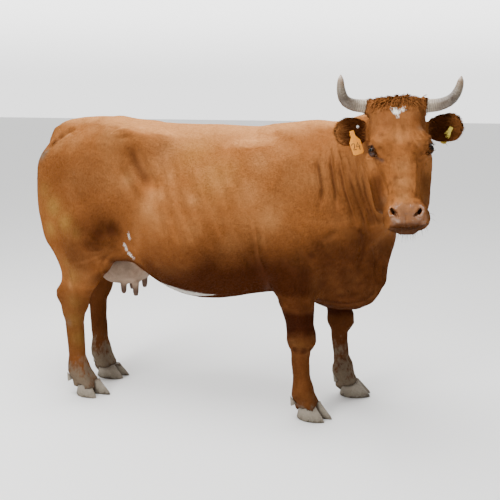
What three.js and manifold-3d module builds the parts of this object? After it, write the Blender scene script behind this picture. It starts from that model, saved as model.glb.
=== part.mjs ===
// A red horned cow, standing with her head turned to her right, as a still life-size model.
// Millimetres, +X along the back towards the chest, +Y to the animal's left, +Z up, hooves on z = 0.
// The flesh is one smooth field of muscles and bones. It is meshed a region at a time and parted by thin
// cuts. Horns, eyes, ears, claws, teats, tail and tags are lofts of their own, seated on the flesh.
import * as THREE from "three";
import { mergeVertices } from "three/addons/utils/BufferGeometryUtils.js";
import Module from "manifold-3d";

const wasm = await Module();
wasm.setup();

const gap = 0.35; // clearance between touching pieces
const degrees = Math.PI / 180;
const v3 = (x, y, z) => new THREE.Vector3(x, y, z);

// ---------------------------------------------------------------- smooth fields

const blendMin = (a, b, k) => {
  const h = Math.max(k - Math.abs(a - b), 0) / k;
  return Math.min(a, b) - (h * h * k) / 4;
};
const blendMax = (a, b, k) => -blendMin(-a, -b, k);

// A cubic through (x, y) stations, flat beyond its ends.
function smoothCurve(points) {
  const xs = points.map((p) => p[0]);
  const ys = points.map((p) => p[1]);
  const slopes = ys.map((_, i) => {
    const a = Math.max(i - 1, 0);
    const b = Math.min(i + 1, ys.length - 1);
    return (ys[b] - ys[a]) / (xs[b] - xs[a]);
  });
  return (x) => {
    if (x <= xs[0]) return ys[0];
    if (x >= xs[xs.length - 1]) return ys[ys.length - 1];
    let i = 0;
    while (x > xs[i + 1]) i += 1;
    const w = xs[i + 1] - xs[i];
    const t = (x - xs[i]) / w;
    const t2 = t * t;
    const t3 = t2 * t;
    return (
      (2 * t3 - 3 * t2 + 1) * ys[i] +
      (t3 - 2 * t2 + t) * w * slopes[i] +
      (3 * t2 - 2 * t3) * ys[i + 1] +
      (t3 - t2) * w * slopes[i + 1]
    );
  };
}

// An ellipsoid with its own axes turned by yaw about Z and then pitch about its own Y, in degrees.
function lump(centre, radii, yaw = 0, pitch = 0) {
  const turn = new THREE.Quaternion().setFromEuler(new THREE.Euler(0, pitch * degrees, yaw * degrees, "ZYX"));
  const back = new THREE.Matrix4().makeRotationFromQuaternion(turn.invert()).elements;
  const [cx, cy, cz] = centre;
  const [rx, ry, rz] = radii;
  return (x, y, z) => {
    const dx = x - cx;
    const dy = y - cy;
    const dz = z - cz;
    const a = (back[0] * dx + back[4] * dy + back[8] * dz) / rx;
    const b = (back[1] * dx + back[5] * dy + back[9] * dz) / ry;
    const c = (back[2] * dx + back[6] * dy + back[10] * dz) / rz;
    const near = Math.sqrt(a * a + b * b + c * c);
    const slope = Math.sqrt((a / rx) ** 2 + (b / ry) ** 2 + (c / rz) ** 2);
    return slope < 1e-9 ? -Math.min(rx, ry, rz) : (near * (near - 1)) / slope;
  };
}

// A round limb from a to b whose radius runs from ra to rb, squeezed across Y by the factor flat.
function limb(a, ra, b, rb, flat = 1) {
  const ax = a[0], ay = a[1], az = a[2];
  const dx = b[0] - ax, dy = b[1] - ay, dz = b[2] - az;
  const length2 = dx * dx + dy * dy + dz * dz;
  return (x, y, z) => {
    const px = x - ax, py = y - ay, pz = z - az;
    const t = Math.min(1, Math.max(0, (px * dx + py * dy + pz * dz) / length2));
    const qx = px - t * dx;
    const qy = (py - t * dy) / flat;
    const qz = pz - t * dz;
    return (Math.sqrt(qx * qx + qy * qy + qz * qz) - (ra + t * (rb - ra))) * Math.min(1, flat);
  };
}

// All the fields of a list, melted together over the distance k.
const melt = (fields, k) => (x, y, z) => fields.reduce((d, f) => blendMin(d, f(x, y, z), k), 1e4);

// ---------------------------------------------------------------- trunk

// Stations from the pin bones to the breast: x, topline, underline, half width, height of the widest
// line, and how square the section is above and below that line.
const trunkStations = [
  { name: "pins", x: -850, top: 1258, low: 960, half: 85, wide: 1095, upper: 2.0, lower: 2.0 },
  { name: "tailHead", x: -800, top: 1316, low: 860, half: 142, wide: 1100, upper: 1.9, lower: 2.1 },
  { name: "rump", x: -690, top: 1344, low: 790, half: 205, wide: 1100, upper: 2.1, lower: 2.2 },
  { name: "sacrum", x: -550, top: 1352, low: 725, half: 232, wide: 1080, upper: 2.3, lower: 2.2 },
  { name: "hooks", x: -400, top: 1340, low: 645, half: 262, wide: 1020, upper: 2.3, lower: 2.1 },
  { name: "loin", x: -250, top: 1324, low: 554, half: 312, wide: 930, upper: 2.15, lower: 2.1 },
  { name: "lastRib", x: -100, top: 1320, low: 508, half: 346, wide: 885, upper: 2.0, lower: 2.1 },
  { name: "barrel", x: 50, top: 1320, low: 511, half: 346, wide: 880, upper: 1.95, lower: 2.15 },
  { name: "girth", x: 200, top: 1314, low: 542, half: 308, wide: 890, upper: 1.85, lower: 2.1 },
  { name: "withers", x: 340, top: 1324, low: 556, half: 256, wide: 900, upper: 1.75, lower: 2.0 },
  { name: "shoulder", x: 480, top: 1340, low: 520, half: 218, wide: 900, upper: 1.75, lower: 1.9 },
  { name: "breast", x: 590, top: 1250, low: 512, half: 185, wide: 880, upper: 2.0, lower: 1.9 },
  { name: "front", x: 680, top: 1060, low: 590, half: 120, wide: 840, upper: 2.0, lower: 2.0 },
];
const trunkCurve = Object.fromEntries(
  ["top", "low", "half", "wide", "upper", "lower"].map((key) => [
    key,
    smoothCurve(trunkStations.map((s) => [s.x, s[key]])),
  ]),
);
const trunkEnds = { rear: -846, front: 680, rounding: 70 };

function trunkBarrel(x, y, z) {
  const wide = trunkCurve.wide(x);
  const above = z > wide;
  const tall = above ? trunkCurve.top(x) - wide : wide - trunkCurve.low(x);
  const power = above ? trunkCurve.upper(x) : trunkCurve.lower(x);
  const a = Math.abs(y) / trunkCurve.half(x);
  const b = Math.abs(z - wide) / tall;
  const share = Math.pow(Math.pow(a, power) + Math.pow(b, power), 1 / power);
  const reach = Math.hypot(y, z - wide);
  const side = share < 1e-6 ? -100 : reach * (1 - 1 / share);
  const past = Math.max(trunkEnds.rear - x, x - trunkEnds.front);
  return blendMax(side, past, trunkEnds.rounding);
}

// Muscles and bones that both sides of the trunk share, given for the left side.
const bothSides = (field) => (x, y, z) => field(x, Math.abs(y), z);

const rumpMasses = [
  lump([-375, 200, 1248], [80, 58, 54]), // hook bone
  limb([-385, 185, 1250], 56, [-540, 110, 1296], 46), // hook to sacrum
  limb([-360, 190, 1240], 52, [-190, 170, 1240], 44), // shelf of the loin
  lump([-806, 130, 1128], [48, 40, 52]), // pin bone
  limb([-400, 190, 1235], 60, [-788, 112, 1128], 44), // ridge from hook to pin
  lump([-578, 172, 1070], [212, 105, 196], 0, 8), // gluteal mass
  lump([-750, 142, 965], [106, 102, 238]), // rear thigh
  lump([-560, 188, 900], [185, 98, 235], 0, -8), // outer thigh
  lump([-455, 212, 872], [92, 80, 140], 0, 16), // front thigh
  lump([-640, 130, 800], [150, 80, 140]), // inner thigh
  limb([-430, 222, 812], 46, [-310, 208, 738], 44, 0.55), // fold of the flank
];
const shoulderMasses = [
  limb([345, 110, 1238], 68, [560, 172, 900], 84, 0.8), // shoulder blade
  lump([400, 168, 1020], [150, 90, 220], 0, -20), // blade muscles
  lump([385, 198, 840], [140, 76, 140], 0, 12), // triceps
  lump([570, 158, 850], [88, 86, 105]), // point of the shoulder
  lump([250, 188, 1010], [200, 118, 250]), // ribs behind the shoulder
];
const breastMasses = [
  lump([618, 0, 690], [150, 125, 165], 0, 12), // breast
  lump([592, 0, 574], [158, 94, 80], 0, 4), // floor of the breast
];

// ---------------------------------------------------------------- legs

// Joint centres of each leg, and how stout it is. side is -1 on the right and 1 on the left.
const legs = {
  fore_right: { side: -1, girth: 1.05, elbow: [352, -190, 700], carpus: [442, -158, 378], fetlock: [450, -146, 135], foot: [504, -136], toeOut: -14 },
  fore_left: { side: 1, girth: 0.95, elbow: [434, 190, 700], carpus: [556, 190, 382], fetlock: [574, 206, 135], foot: [632, 212], toeOut: 6, dewclaw: 40 },
  hind_right: { side: -1, girth: 1, stifle: [-455, -228, 800], hock: [-678, -184, 490], fetlock: [-672, -164, 140], foot: [-604, -156], toeOut: -8, heel: 84 },
  hind_left: { side: 1, girth: 1.03, stifle: [-470, 228, 800], hock: [-722, 150, 490], fetlock: [-694, 122, 140], foot: [-632, 112], toeOut: -4, dewclaw: 32 },
};
const between = (a, b, t) => [0, 1, 2].map((i) => a[i] + (b[i] - a[i]) * t);
const shifted = (p, dx, dy, dz) => [p[0] + dx, p[1] + dy, p[2] + dz];

// A point of a foot: forward and outward of the foot's centre, turned with the toes.
function footPoint(leg, forward, left, up) {
  const c = Math.cos(leg.toeOut * degrees);
  const s = Math.sin(leg.toeOut * degrees);
  return [leg.foot[0] + forward * c - left * s, leg.foot[1] + forward * s + left * c, up];
}

const digitSpread = 25; // from the foot's middle to each digit's axis

function pasternFields(leg) {
  const digits = [-1, 1].map((side) =>
    limb(shifted(leg.fetlock, 4, side * 17, -8), 34, footPoint(leg, -14, side * digitSpread, 48), 32),
  );
  const heel = limb(shifted(leg.fetlock, -12, 0, -16), 34, footPoint(leg, -(leg.heel ?? 68), 0, 46), 32);
  return [...digits, heel];
}

function foreLeg(leg) {
  const { side, girth, elbow, carpus, fetlock } = leg;
  const cannonTop = shifted(carpus, 0, 0, -78);
  const bones = [
    limb(shifted(elbow, 100, -side * 6, 80), 104, shifted(elbow, 62, -side * 4, -60), 88, 0.78), // upper forearm
    lump(shifted(elbow, -16, side * 4, 36), [50, 44, 56]), // point of the elbow
    limb(shifted(elbow, 68, -side * 6, -90), 86 * girth, shifted(carpus, -6, 0, 62), 59 * girth, 0.84), // forearm
    lump(shifted(elbow, 42, side * 14, -60), [66, 46, 100], 0, 14), // forearm muscle
    lump(carpus, [62, 55, 66]), // knee
    lump(shifted(carpus, 22, 0, 8), [44, 48, 46]), // front of the knee
    lump(shifted(carpus, -34, side * 6, 6), [28, 30, 44]), // pea bone
    limb(cannonTop, 38 * girth, shifted(fetlock, 0, 0, 34), 34 * girth, 0.9), // cannon
    limb(shifted(cannonTop, -14, 0, 0), 28, shifted(fetlock, -18, 0, 30), 26, 0.75), // tendons
    lump(shifted(fetlock, 3, 0, 0), [44, 45, 48]), // fetlock
    lump(shifted(fetlock, -18, 0, -14), [34, 42, 34]), // back of the fetlock
  ];
  return melt([melt(bones, 26), melt(pasternFields(leg), 22)], 24);
}

function hindLeg(leg) {
  const { side, girth, stifle, hock, fetlock } = leg;
  const heelBone = shifted(hock, -56 * girth, 0, 26);
  const bones = [
    limb(shifted(stifle, -104, side * 2, 4), 112, shifted(hock, 48, 0, 96), 62, 0.68), // gaskin
    lump(shifted(stifle, -2, 0, 16), [76, 60, 78]), // stifle
    limb(between(stifle, hock, 0.38), 80, shifted(hock, 34, 0, 40), 54, 0.8), // shin
    limb(shifted(hock, -58, side * -8, 305), 64, shifted(hock, -14, 0, 115), 31, 0.85), // calf
    limb(shifted(hock, -10, 0, 130), 26, heelBone, 24, 0.75), // heel tendon
    lump(heelBone, [26, 25, 34]), // point of the hock
    limb(heelBone, 24, shifted(hock, -28, 0, -56), 32 * girth, 0.85), // back of the hock
    lump(shifted(hock, 16, 0, 0), [58, 46, 80]), // hock
    lump(shifted(hock, 42, side * 4, 4), [44, 42, 74]), // front of the hock
    limb(shifted(hock, 8, 0, -66), 44 * girth, shifted(fetlock, 0, 0, 40), 37 * girth, 0.82), // cannon
    limb(shifted(hock, -14, 0, -60), 31, shifted(fetlock, -18, 0, 34), 28, 0.72), // tendons
    lump(fetlock, [48, 45, 50]), // fetlock
    lump(shifted(fetlock, -18, 0, -12), [34, 42, 34]), // back of the fetlock
  ];
  return melt([melt(bones, 26), melt(pasternFields(leg), 22)], 24);
}

const legFields = {
  fore_right: foreLeg(legs.fore_right),
  fore_left: foreLeg(legs.fore_left),
  hind_right: hindLeg(legs.hind_right),
  hind_left: hindLeg(legs.hind_left),
};

// ---------------------------------------------------------------- head frame

// The head's own frame: origin midway between the eyes, u to the animal's left, v out of the forehead,
// s down the face to the muzzle.
const headPose = { eyes: v3(888, -506, 1266), heading: -77, faceTilt: 30, roll: 2.5 };
const headUp = v3(0, 0, 1);
const headForward = v3(Math.cos(headPose.heading * degrees), Math.sin(headPose.heading * degrees), 0);
const headLeft = new THREE.Vector3().crossVectors(headUp, headForward);
for (const axis of [headUp, headLeft]) axis.applyAxisAngle(headForward, headPose.roll * degrees);
const faceDown = headForward
  .clone()
  .multiplyScalar(Math.sin(headPose.faceTilt * degrees))
  .addScaledVector(headUp, -Math.cos(headPose.faceTilt * degrees));
const faceOut = headForward
  .clone()
  .multiplyScalar(Math.cos(headPose.faceTilt * degrees))
  .addScaledVector(headUp, Math.sin(headPose.faceTilt * degrees));
const headMatrix = new THREE.Matrix4().makeBasis(headLeft, faceOut, faceDown).setPosition(headPose.eyes);
const onHead = (u, v, s) => v3(u, v, s).applyMatrix4(headMatrix);

function inHeadFrame(field) {
  const e = headMatrix.clone().invert().elements;
  return (x, y, z) =>
    field(
      e[0] * x + e[4] * y + e[8] * z + e[12],
      e[1] * x + e[5] * y + e[9] * z + e[13],
      e[2] * x + e[6] * y + e[10] * z + e[14],
    );
}

// ---------------------------------------------------------------- neck

const neckStart = v3(440, 0, 985);
const neckEnd = onHead(0, -108, -78);
const neckPath = new THREE.CubicBezierCurve3(
  neckStart,
  v3(690, 0, 1105),
  neckEnd.clone().addScaledVector(headForward, -170).add(v3(0, 0, -40)),
  neckEnd,
);
const neckStations = {
  count: 28,
  crest: [345, 276, 232, 186, 140],
  throat: [345, 306, 262, 216, 156],
  halfWidth: [205, 166, 140, 124, 108],
};
const alongNeck = (values) => smoothCurve(values.map((value, i) => [i / (values.length - 1), value]));
const neckCrest = alongNeck(neckStations.crest);
const neckThroat = alongNeck(neckStations.throat);
const neckWidth = alongNeck(neckStations.halfWidth);
const neckSamples = Array.from({ length: neckStations.count + 1 }, (_, i) => {
  const t = i / neckStations.count;
  const along = neckPath.getTangent(t);
  const level = v3(0, 0, 1).cross(along).normalize();
  const up = new THREE.Vector3().crossVectors(along, level);
  return { t, at: neckPath.getPoint(t), along, level, up };
});

function neckField(x, y, z) {
  let best = neckSamples[0];
  let nearest = Infinity;
  for (const s of neckSamples) {
    const d = (x - s.at.x) ** 2 + (y - s.at.y) ** 2 + ((z - s.at.z) * 0.6) ** 2;
    if (d < nearest) {
      nearest = d;
      best = s;
    }
  }
  const dx = x - best.at.x;
  const dy = y - best.at.y;
  const dz = z - best.at.z;
  const along = dx * best.along.x + dy * best.along.y + dz * best.along.z;
  const t = Math.min(1, Math.max(0, best.t + along / 640));
  const across = dx * best.level.x + dy * best.level.y + dz * best.level.z;
  const rise = dx * best.up.x + dy * best.up.y + dz * best.up.z;
  const half = neckWidth(t);
  const tall = rise > 0 ? neckCrest(t) : neckThroat(t);
  const share = Math.hypot(across / half, rise / tall);
  const reach = Math.hypot(across, rise);
  const side = share < 1e-6 ? -100 : reach * (1 - 1 / share);
  const past = best.t === 0 ? -along : best.t === 1 ? along : -100;
  return blendMax(side, past, 50);
}

// The dewlap: flat lobes from the throat down to the breast, each turned to the neck's own plane.
const dewlapLobes = [
  lump([674, 0, 640], [108, 44, 125], 0, 18),
  lump([730, -6, 770], [90, 36, 150], -8, 6),
  lump([778, -44, 905], [80, 36, 140], -26, -6),
  lump([762, -2, 612], [26, 16, 42], 0, 12),
  lump([790, -120, 1010], [78, 40, 120], -44, -14),
];

// ---------------------------------------------------------------- head

// The face in profile, at stations down the head: out is the face line, back the jaw line.
const headStations = [
  { name: "crown", s: -235, out: -26, back: -84, half: 74 },
  { name: "poll", s: -190, out: 16, back: -118, half: 98 },
  { name: "brow", s: -95, out: 38, back: -150, half: 104 },
  { name: "eyes", s: 0, out: 38, back: -184, half: 104 },
  { name: "cheek", s: 70, out: 35, back: -182, half: 86 },
  { name: "bridge", s: 150, out: 30, back: -152, half: 66 },
  { name: "nose", s: 215, out: 27, back: -118, half: 62 },
  { name: "muzzle", s: 272, out: 20, back: -94, half: 66 },
  { name: "lips", s: 312, out: -6, back: -72, half: 48 },
];
const headCurve = Object.fromEntries(
  ["out", "back", "half"].map((key) => [key, smoothCurve(headStations.map((st) => [st.s, st[key]]))]),
);
const headSquareness = 2.7;

function skullLoft(u, v, s) {
  const out = headCurve.out(s);
  const back = headCurve.back(s);
  const middle = out - (out - back) * 0.42;
  const deep = v > middle ? out - middle : middle - back;
  const power = v > middle ? headSquareness : 2.1;
  const a = Math.abs(u) / headCurve.half(s);
  const b = Math.abs(v - middle) / deep;
  const share = Math.pow(Math.pow(a, power) + Math.pow(b, power), 1 / power);
  const reach = Math.hypot(u, v - middle);
  const side = share < 1e-6 ? -40 : reach * (1 - 1 / share);
  return blendMax(side, Math.max(-238 - s, s - 310), 36);
}

const eyePlace = { centre: [101, -3, 5], radius: 21, gaze: [0.66, 0.75, -0.04], length: [-0.62, 0.55, 0.56] };
const headMasses = [
  lump([90, -4, 0], [26, 28, 38]), // rim of the eye socket
  lump([72, 14, -22], [40, 26, 44]), // brow
  limb([82, -96, 6], 47, [63, -92, 185], 41), // jaw
  lump([0, -26, -196], [102, 44, 38]), // poll
];
// The soft end of the nose, a little turned to the animal's left.
const muzzleMasses = [
  lump([34, 8, 264], [38, 26, 38]), // nostril wing
  lump([0, -30, 272], [76, 46, 38]), // upper lip
  lump([50, -42, 262], [32, 38, 40]), // lip corner
  lump([0, -82, 270], [46, 28, 42]), // chin
];
const muzzleShift = 7;
const headHollows = [
  lump([116, 4, -84], [24, 34, 40]), // temple
  lump([84, 26, 96], [24, 24, 74]), // below the eye
];

function headShape(u, v, s) {
  const au = Math.abs(u);
  let d = blendMin(skullLoft(u, v, s), headMasses[0](au, v, s), 20);
  for (const mass of headMasses.slice(1)) d = blendMin(d, mass(au, v, s), 28);
  for (const mass of muzzleMasses) d = blendMin(d, mass(Math.abs(u - muzzleShift), v, s), 28);
  for (const hollow of headHollows) d = blendMax(d, -hollow(au, v, s), 30);
  d = blendMin(d, hornRoot(au, v, s), 24);
  return blendMin(d, earRoot(au, v, s), 30);
}
const hornRoot = limb([70, -40, -194], 34, [110, -40, -196], 30);
const earRoot = limb([74, -64, -106], 36, [106, -90, -108], 20);
const headField = inHeadFrame(headShape);

// ---------------------------------------------------------------- the whole flesh

const udderPlace = { centre: [-474, 0, 640], radii: [122, 118, 102] };
const udderField = melt(
  [
    lump(udderPlace.centre, udderPlace.radii),
    lump([-540, 0, 625], [76, 100, 84]),
    lump([-412, 54, 622], [62, 58, 60]),
    lump([-412, -54, 622], [62, 58, 60]),
  ],
  40,
);

const flankHollow = bothSides(lump([-245, 345, 1120], [95, 70, 120], 0, 20));
const trunkMasses = melt(
  [trunkBarrel, bothSides(melt(rumpMasses, 60)), bothSides(melt(shoulderMasses, 60)), melt(breastMasses, 60)],
  60,
);

function flesh(x, y, z) {
  let d = blendMax(trunkMasses(x, y, z), -flankHollow(x, y, z), 90);
  d = blendMin(d, neckField(x, y, z), 90);
  for (const lobe of dewlapLobes) d = blendMin(d, lobe(x, y, z), 45);
  for (const leg of Object.values(legFields)) d = blendMin(d, leg(x, y, z), 48);
  return blendMin(d, headField(x, y, z), 46);
}

// ---------------------------------------------------------------- meshing

// Surface nets: one vertex in each cell that the surface crosses, pulled onto the surface, and one
// quad for each grid edge that it crosses.
function meshField(field, low, high, cell) {
  const n = [0, 1, 2].map((i) => Math.ceil((high[i] - low[i]) / cell[i]) + 1);
  const at = (i, j, k) => (k * n[1] + j) * n[0] + i;
  const values = new Float64Array(n[0] * n[1] * n[2]);
  for (let k = 0; k < n[2]; k += 1)
    for (let j = 0; j < n[1]; j += 1)
      for (let i = 0; i < n[0]; i += 1) {
        const edge = i === 0 || j === 0 || k === 0 || i === n[0] - 1 || j === n[1] - 1 || k === n[2] - 1;
        const d = field(low[0] + i * cell[0], low[1] + j * cell[1], low[2] + k * cell[2]);
        values[at(i, j, k)] = edge ? Math.max(d, 1) : d;
      }
  // Fill in one outside corner of every checkerboard face, so that no two sheets share an edge.
  const planes = [[0, 1], [1, 2], [0, 2]];
  for (let changed = true; changed; ) {
    changed = false;
    for (let k = 0; k < n[2] - 1; k += 1)
      for (let j = 0; j < n[1] - 1; j += 1)
        for (let i = 0; i < n[0] - 1; i += 1)
          for (const [p, q] of planes) {
            const next = (a, b) => {
              const c = [i, j, k];
              c[p] += a;
              c[q] += b;
              return at(...c);
            };
            const face = [next(0, 0), next(1, 0), next(1, 1), next(0, 1)];
            const inside = face.map((f) => values[f] < 0);
            if (inside[0] !== inside[2] || inside[1] !== inside[3] || inside[0] === inside[1]) continue;
            const open = inside[0] ? [face[1], face[3]] : [face[0], face[2]];
            values[values[open[0]] < values[open[1]] ? open[0] : open[1]] = -0.01;
            changed = true;
          }
  }
  const positions = [];
  const vertexOf = new Map();
  const corners = [0, 1, 2, 3, 4, 5, 6, 7].map((c) => [c & 1, (c >> 1) & 1, (c >> 2) & 1]);
  const step = 0.5;
  const vertex = (i, j, k) => {
    const key = at(i, j, k);
    if (vertexOf.has(key)) return vertexOf.get(key);
    const sum = [0, 0, 0];
    let crossings = 0;
    for (let a = 0; a < 8; a += 1)
      for (const bit of [1, 2, 4]) {
        const b = a | bit;
        if (b === a) continue;
        const va = values[at(i + corners[a][0], j + corners[a][1], k + corners[a][2])];
        const vb = values[at(i + corners[b][0], j + corners[b][1], k + corners[b][2])];
        if (va < 0 === vb < 0) continue;
        const t = va / (va - vb);
        for (let c = 0; c < 3; c += 1) sum[c] += corners[a][c] + t * (corners[b][c] - corners[a][c]);
        crossings += 1;
      }
    const p = [i, j, k].map((index, c) => low[c] + (index + sum[c] / crossings) * cell[c]);
    const centre = [...p];
    for (let pull = 0; pull < 3; pull += 1) {
      const d = field(...p);
      const g = [0, 1, 2].map((c) => {
        const q = [...p];
        q[c] += step;
        return (field(...q) - d) / step;
      });
      const g2 = g[0] ** 2 + g[1] ** 2 + g[2] ** 2;
      if (g2 < 0.04) break;
      for (let c = 0; c < 3; c += 1) {
        const room = 0.6 * cell[c];
        const moved = p[c] - (d * g[c]) / g2;
        p[c] = Math.min(centre[c] + room, Math.max(centre[c] - room, moved));
      }
    }
    vertexOf.set(key, positions.length / 3);
    positions.push(...p);
    return vertexOf.get(key);
  };
  const index = [];
  const quad = (a, b, c, d, flip) => {
    const far = (p, q) =>
      Math.hypot(...[0, 1, 2].map((m) => positions[3 * p + m] - positions[3 * q + m]));
    const short = far(a, c) <= far(b, d);
    const faces = short ? [a, b, c, a, c, d] : [a, b, d, b, c, d];
    index.push(...(flip ? faces.reverse() : faces));
  };
  for (let k = 0; k < n[2] - 1; k += 1)
    for (let j = 0; j < n[1] - 1; j += 1)
      for (let i = 0; i < n[0] - 1; i += 1) {
        const here = values[at(i, j, k)] < 0;
        if (j && k && here !== values[at(i + 1, j, k)] < 0)
          quad(vertex(i, j - 1, k - 1), vertex(i, j, k - 1), vertex(i, j, k), vertex(i, j - 1, k), !here);
        if (i && k && here !== values[at(i, j + 1, k)] < 0)
          quad(vertex(i - 1, j, k - 1), vertex(i - 1, j, k), vertex(i, j, k), vertex(i, j, k - 1), !here);
        if (i && j && here !== values[at(i, j, k + 1)] < 0)
          quad(vertex(i - 1, j - 1, k), vertex(i, j - 1, k), vertex(i, j, k), vertex(i - 1, j, k), !here);
      }
  const geometry = new THREE.BufferGeometry();
  geometry.setAttribute("position", new THREE.Float32BufferAttribute(positions, 3));
  geometry.setIndex(index);
  return geometry;
}

// ---------------------------------------------------------------- solids

const indexedSolid = (geometry) =>
  new wasm.Manifold(
    new wasm.Mesh({
      numProp: 3,
      vertProperties: new Float32Array(geometry.attributes.position.array),
      triVerts: new Uint32Array(geometry.index.array),
    }),
  );

function toSolid(geometry) {
  const bare = geometry.clone();
  for (const name of ["normal", "uv"]) bare.deleteAttribute(name);
  return indexedSolid(mergeVertices(bare, 1e-3));
}

function toGeometry(solid) {
  const mesh = solid.getMesh();
  const positions = [];
  for (let i = 0; i < mesh.numVert; i += 1)
    for (let c = 0; c < 3; c += 1) positions.push(mesh.vertProperties[i * mesh.numProp + c]);
  const geometry = new THREE.BufferGeometry();
  geometry.setAttribute("position", new THREE.Float32BufferAttribute(positions, 3));
  geometry.setIndex(Array.from(mesh.triVerts));
  return geometry;
}

// The same solid with its surface moved out by a distance.
function grown(solid, by = gap) {
  const geometry = toGeometry(solid);
  geometry.computeVertexNormals();
  const position = geometry.attributes.position;
  const normal = geometry.attributes.normal;
  for (let i = 0; i < position.count; i += 1)
    position.setXYZ(
      i,
      position.getX(i) + normal.getX(i) * by,
      position.getY(i) + normal.getY(i) * by,
      position.getZ(i) + normal.getZ(i) * by,
    );
  return toSolid(geometry);
}

// The largest body of a solid, with vertices that all but touch made one.
const largest = (solid) =>
  toSolid(toGeometry(solid))
    .decompose()
    .reduce((best, piece) => (piece.volume() > best.volume() ? piece : best));

// A box from its low and high corners, as a cutting tool.
function cutBox(low, high) {
  const box = new THREE.BoxGeometry(...[0, 1, 2].map((i) => high[i] - low[i]));
  box.translate(...[0, 1, 2].map((i) => (low[i] + high[i]) / 2));
  return toSolid(box);
}

// A large slab whose underside passes through a point with the given outward direction.
function slabBeyond(point, direction, thickness = 900, width = 1800) {
  const slab = new THREE.BoxGeometry(width, width, thickness);
  slab.translate(0, 0, thickness / 2);
  slab.applyQuaternion(new THREE.Quaternion().setFromUnitVectors(v3(0, 0, 1), direction.clone().normalize()));
  slab.translate(point.x, point.y, point.z);
  return toSolid(slab);
}

// ---------------------------------------------------------------- lofts

// A closed skin over rings of points, with a fan to each end's middle.
function loftRings(rings) {
  const around = rings[0].length;
  const positions = rings.flat().flatMap((p) => [p.x, p.y, p.z]);
  const index = [];
  for (let r = 0; r < rings.length - 1; r += 1)
    for (let i = 0; i < around; i += 1) {
      const a = r * around + i;
      const b = r * around + ((i + 1) % around);
      index.push(a, b, a + around, b, b + around, a + around);
    }
  const middle = (ring) => ring.reduce((sum, p) => sum.add(p), v3(0, 0, 0)).multiplyScalar(1 / around);
  const first = positions.length / 3;
  for (const ring of [rings[0], rings[rings.length - 1]]) {
    const m = middle(ring);
    positions.push(m.x, m.y, m.z);
  }
  const top = (rings.length - 1) * around;
  for (let i = 0; i < around; i += 1) {
    const next = (i + 1) % around;
    index.push(first, next, i);
    index.push(first + 1, top + i, top + next);
  }
  const geometry = new THREE.BufferGeometry();
  geometry.setAttribute("position", new THREE.Float32BufferAttribute(positions, 3));
  geometry.setIndex(index);
  return geometry;
}

// A tapering round rod along a curve. radiusAt gives the radius at a share of its length.
function rodAlong(curve, steps, sides, radiusAt) {
  const frames = curve.computeFrenetFrames(steps, false);
  const rings = Array.from({ length: steps + 1 }, (_, i) => {
    const centre = curve.getPointAt(i / steps);
    const r = radiusAt(i / steps);
    return Array.from({ length: sides }, (_, j) => {
      const a = (j / sides) * 2 * Math.PI;
      return centre
        .clone()
        .addScaledVector(frames.normals[i], r * Math.cos(a))
        .addScaledVector(frames.binormals[i], r * Math.sin(a));
    });
  });
  return outward(loftRings(rings));
}

// Turns a loft's faces outwards where its rings run the other way round.
function outward(geometry) {
  const p = geometry.attributes.position;
  const index = geometry.index.array;
  const a = v3(0, 0, 0);
  const b = v3(0, 0, 0);
  const c = v3(0, 0, 0);
  let volume = 0;
  for (let i = 0; i < index.length; i += 3) {
    a.fromBufferAttribute(p, index[i]);
    b.fromBufferAttribute(p, index[i + 1]);
    c.fromBufferAttribute(p, index[i + 2]);
    volume += a.dot(b.cross(c));
  }
  if (volume < 0) geometry.setIndex(Array.from(index).reverse());
  return geometry;
}

// ---------------------------------------------------------------- locks of hair

// Repeatable draws between two values.
function drawsFrom(seed) {
  let state = seed;
  return (low, high) => {
    state = (state * 1664525 + 1013904223) % 4294967296;
    return low + (high - low) * (state / 4294967296);
  };
}

// One flat lock along a curve, its ridge to the outside, widest near the middle and tapered to the tip.
function hairLock(points, outwards, width, thick, steps = 4) {
  const curve = new THREE.CatmullRomCurve3(points);
  const rings = Array.from({ length: steps + 1 }, (_, i) => {
    const t = i / steps;
    const taper = t < 0.45 ? 0.7 + 0.67 * t : Math.max(0.1, 1 - 1.65 * (t - 0.45));
    const centre = curve.getPointAt(t);
    const across = curve.getTangentAt(t).cross(outwards).normalize();
    return [[-0.5, -0.3], [0.5, -0.3], [0, 0.7]].map(([a, b]) =>
      centre.clone().addScaledVector(across, a * width * taper).addScaledVector(outwards, b * thick * taper),
    );
  });
  return toSolid(outward(loftRings(rings)));
}

// The hair of the poll: rows of locks from the crown that fall forward over the brow and spread.
const pollRows = [
  { s: -221, count: 5, half: 72, length: 62, lift: 6 },
  { s: -190, count: 6, half: 66, length: 54, lift: 5 },
];
const pollLock = { width: 33, thick: 9, sunk: 13, spread: 0.3 };

function browLine(u, s) {
  let low = -90;
  let high = 120;
  while (high - low > 0.2) {
    const half = (low + high) / 2;
    if (headShape(u, half, s) < 0) low = half;
    else high = half;
  }
  return low;
}

function pollLocks() {
  const draw = drawsFrom(5);
  const { width, thick, sunk, spread } = pollLock;
  return pollRows.flatMap(({ s, count, half, length, lift }) =>
    Array.from({ length: count }, (_, i) => {
      const u = half * ((2 * i) / (count - 1) - 1) + draw(-5, 5);
      const long = length * draw(0.85, 1.15);
      const lean = spread * u * draw(0.7, 1.3) + draw(-9, 9);
      const points = [0, 0.25, 0.5, 0.75, 1].map((t, k) => {
        const across = u + lean * t;
        const down = s + long * t;
        const up = [-sunk, 0.8 * lift, 1.15 * lift, 0.9 * lift, 0.35 * lift][k];
        return onHead(across, browLine(across, down) + up, down);
      });
      const outwards = faceOut.clone().addScaledVector(headLeft, 0.004 * u).normalize();
      return hairLock(points, outwards, width * draw(0.85, 1.15), thick, 3);
    }),
  );
}

// ---------------------------------------------------------------- horns, eyes and ears

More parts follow.
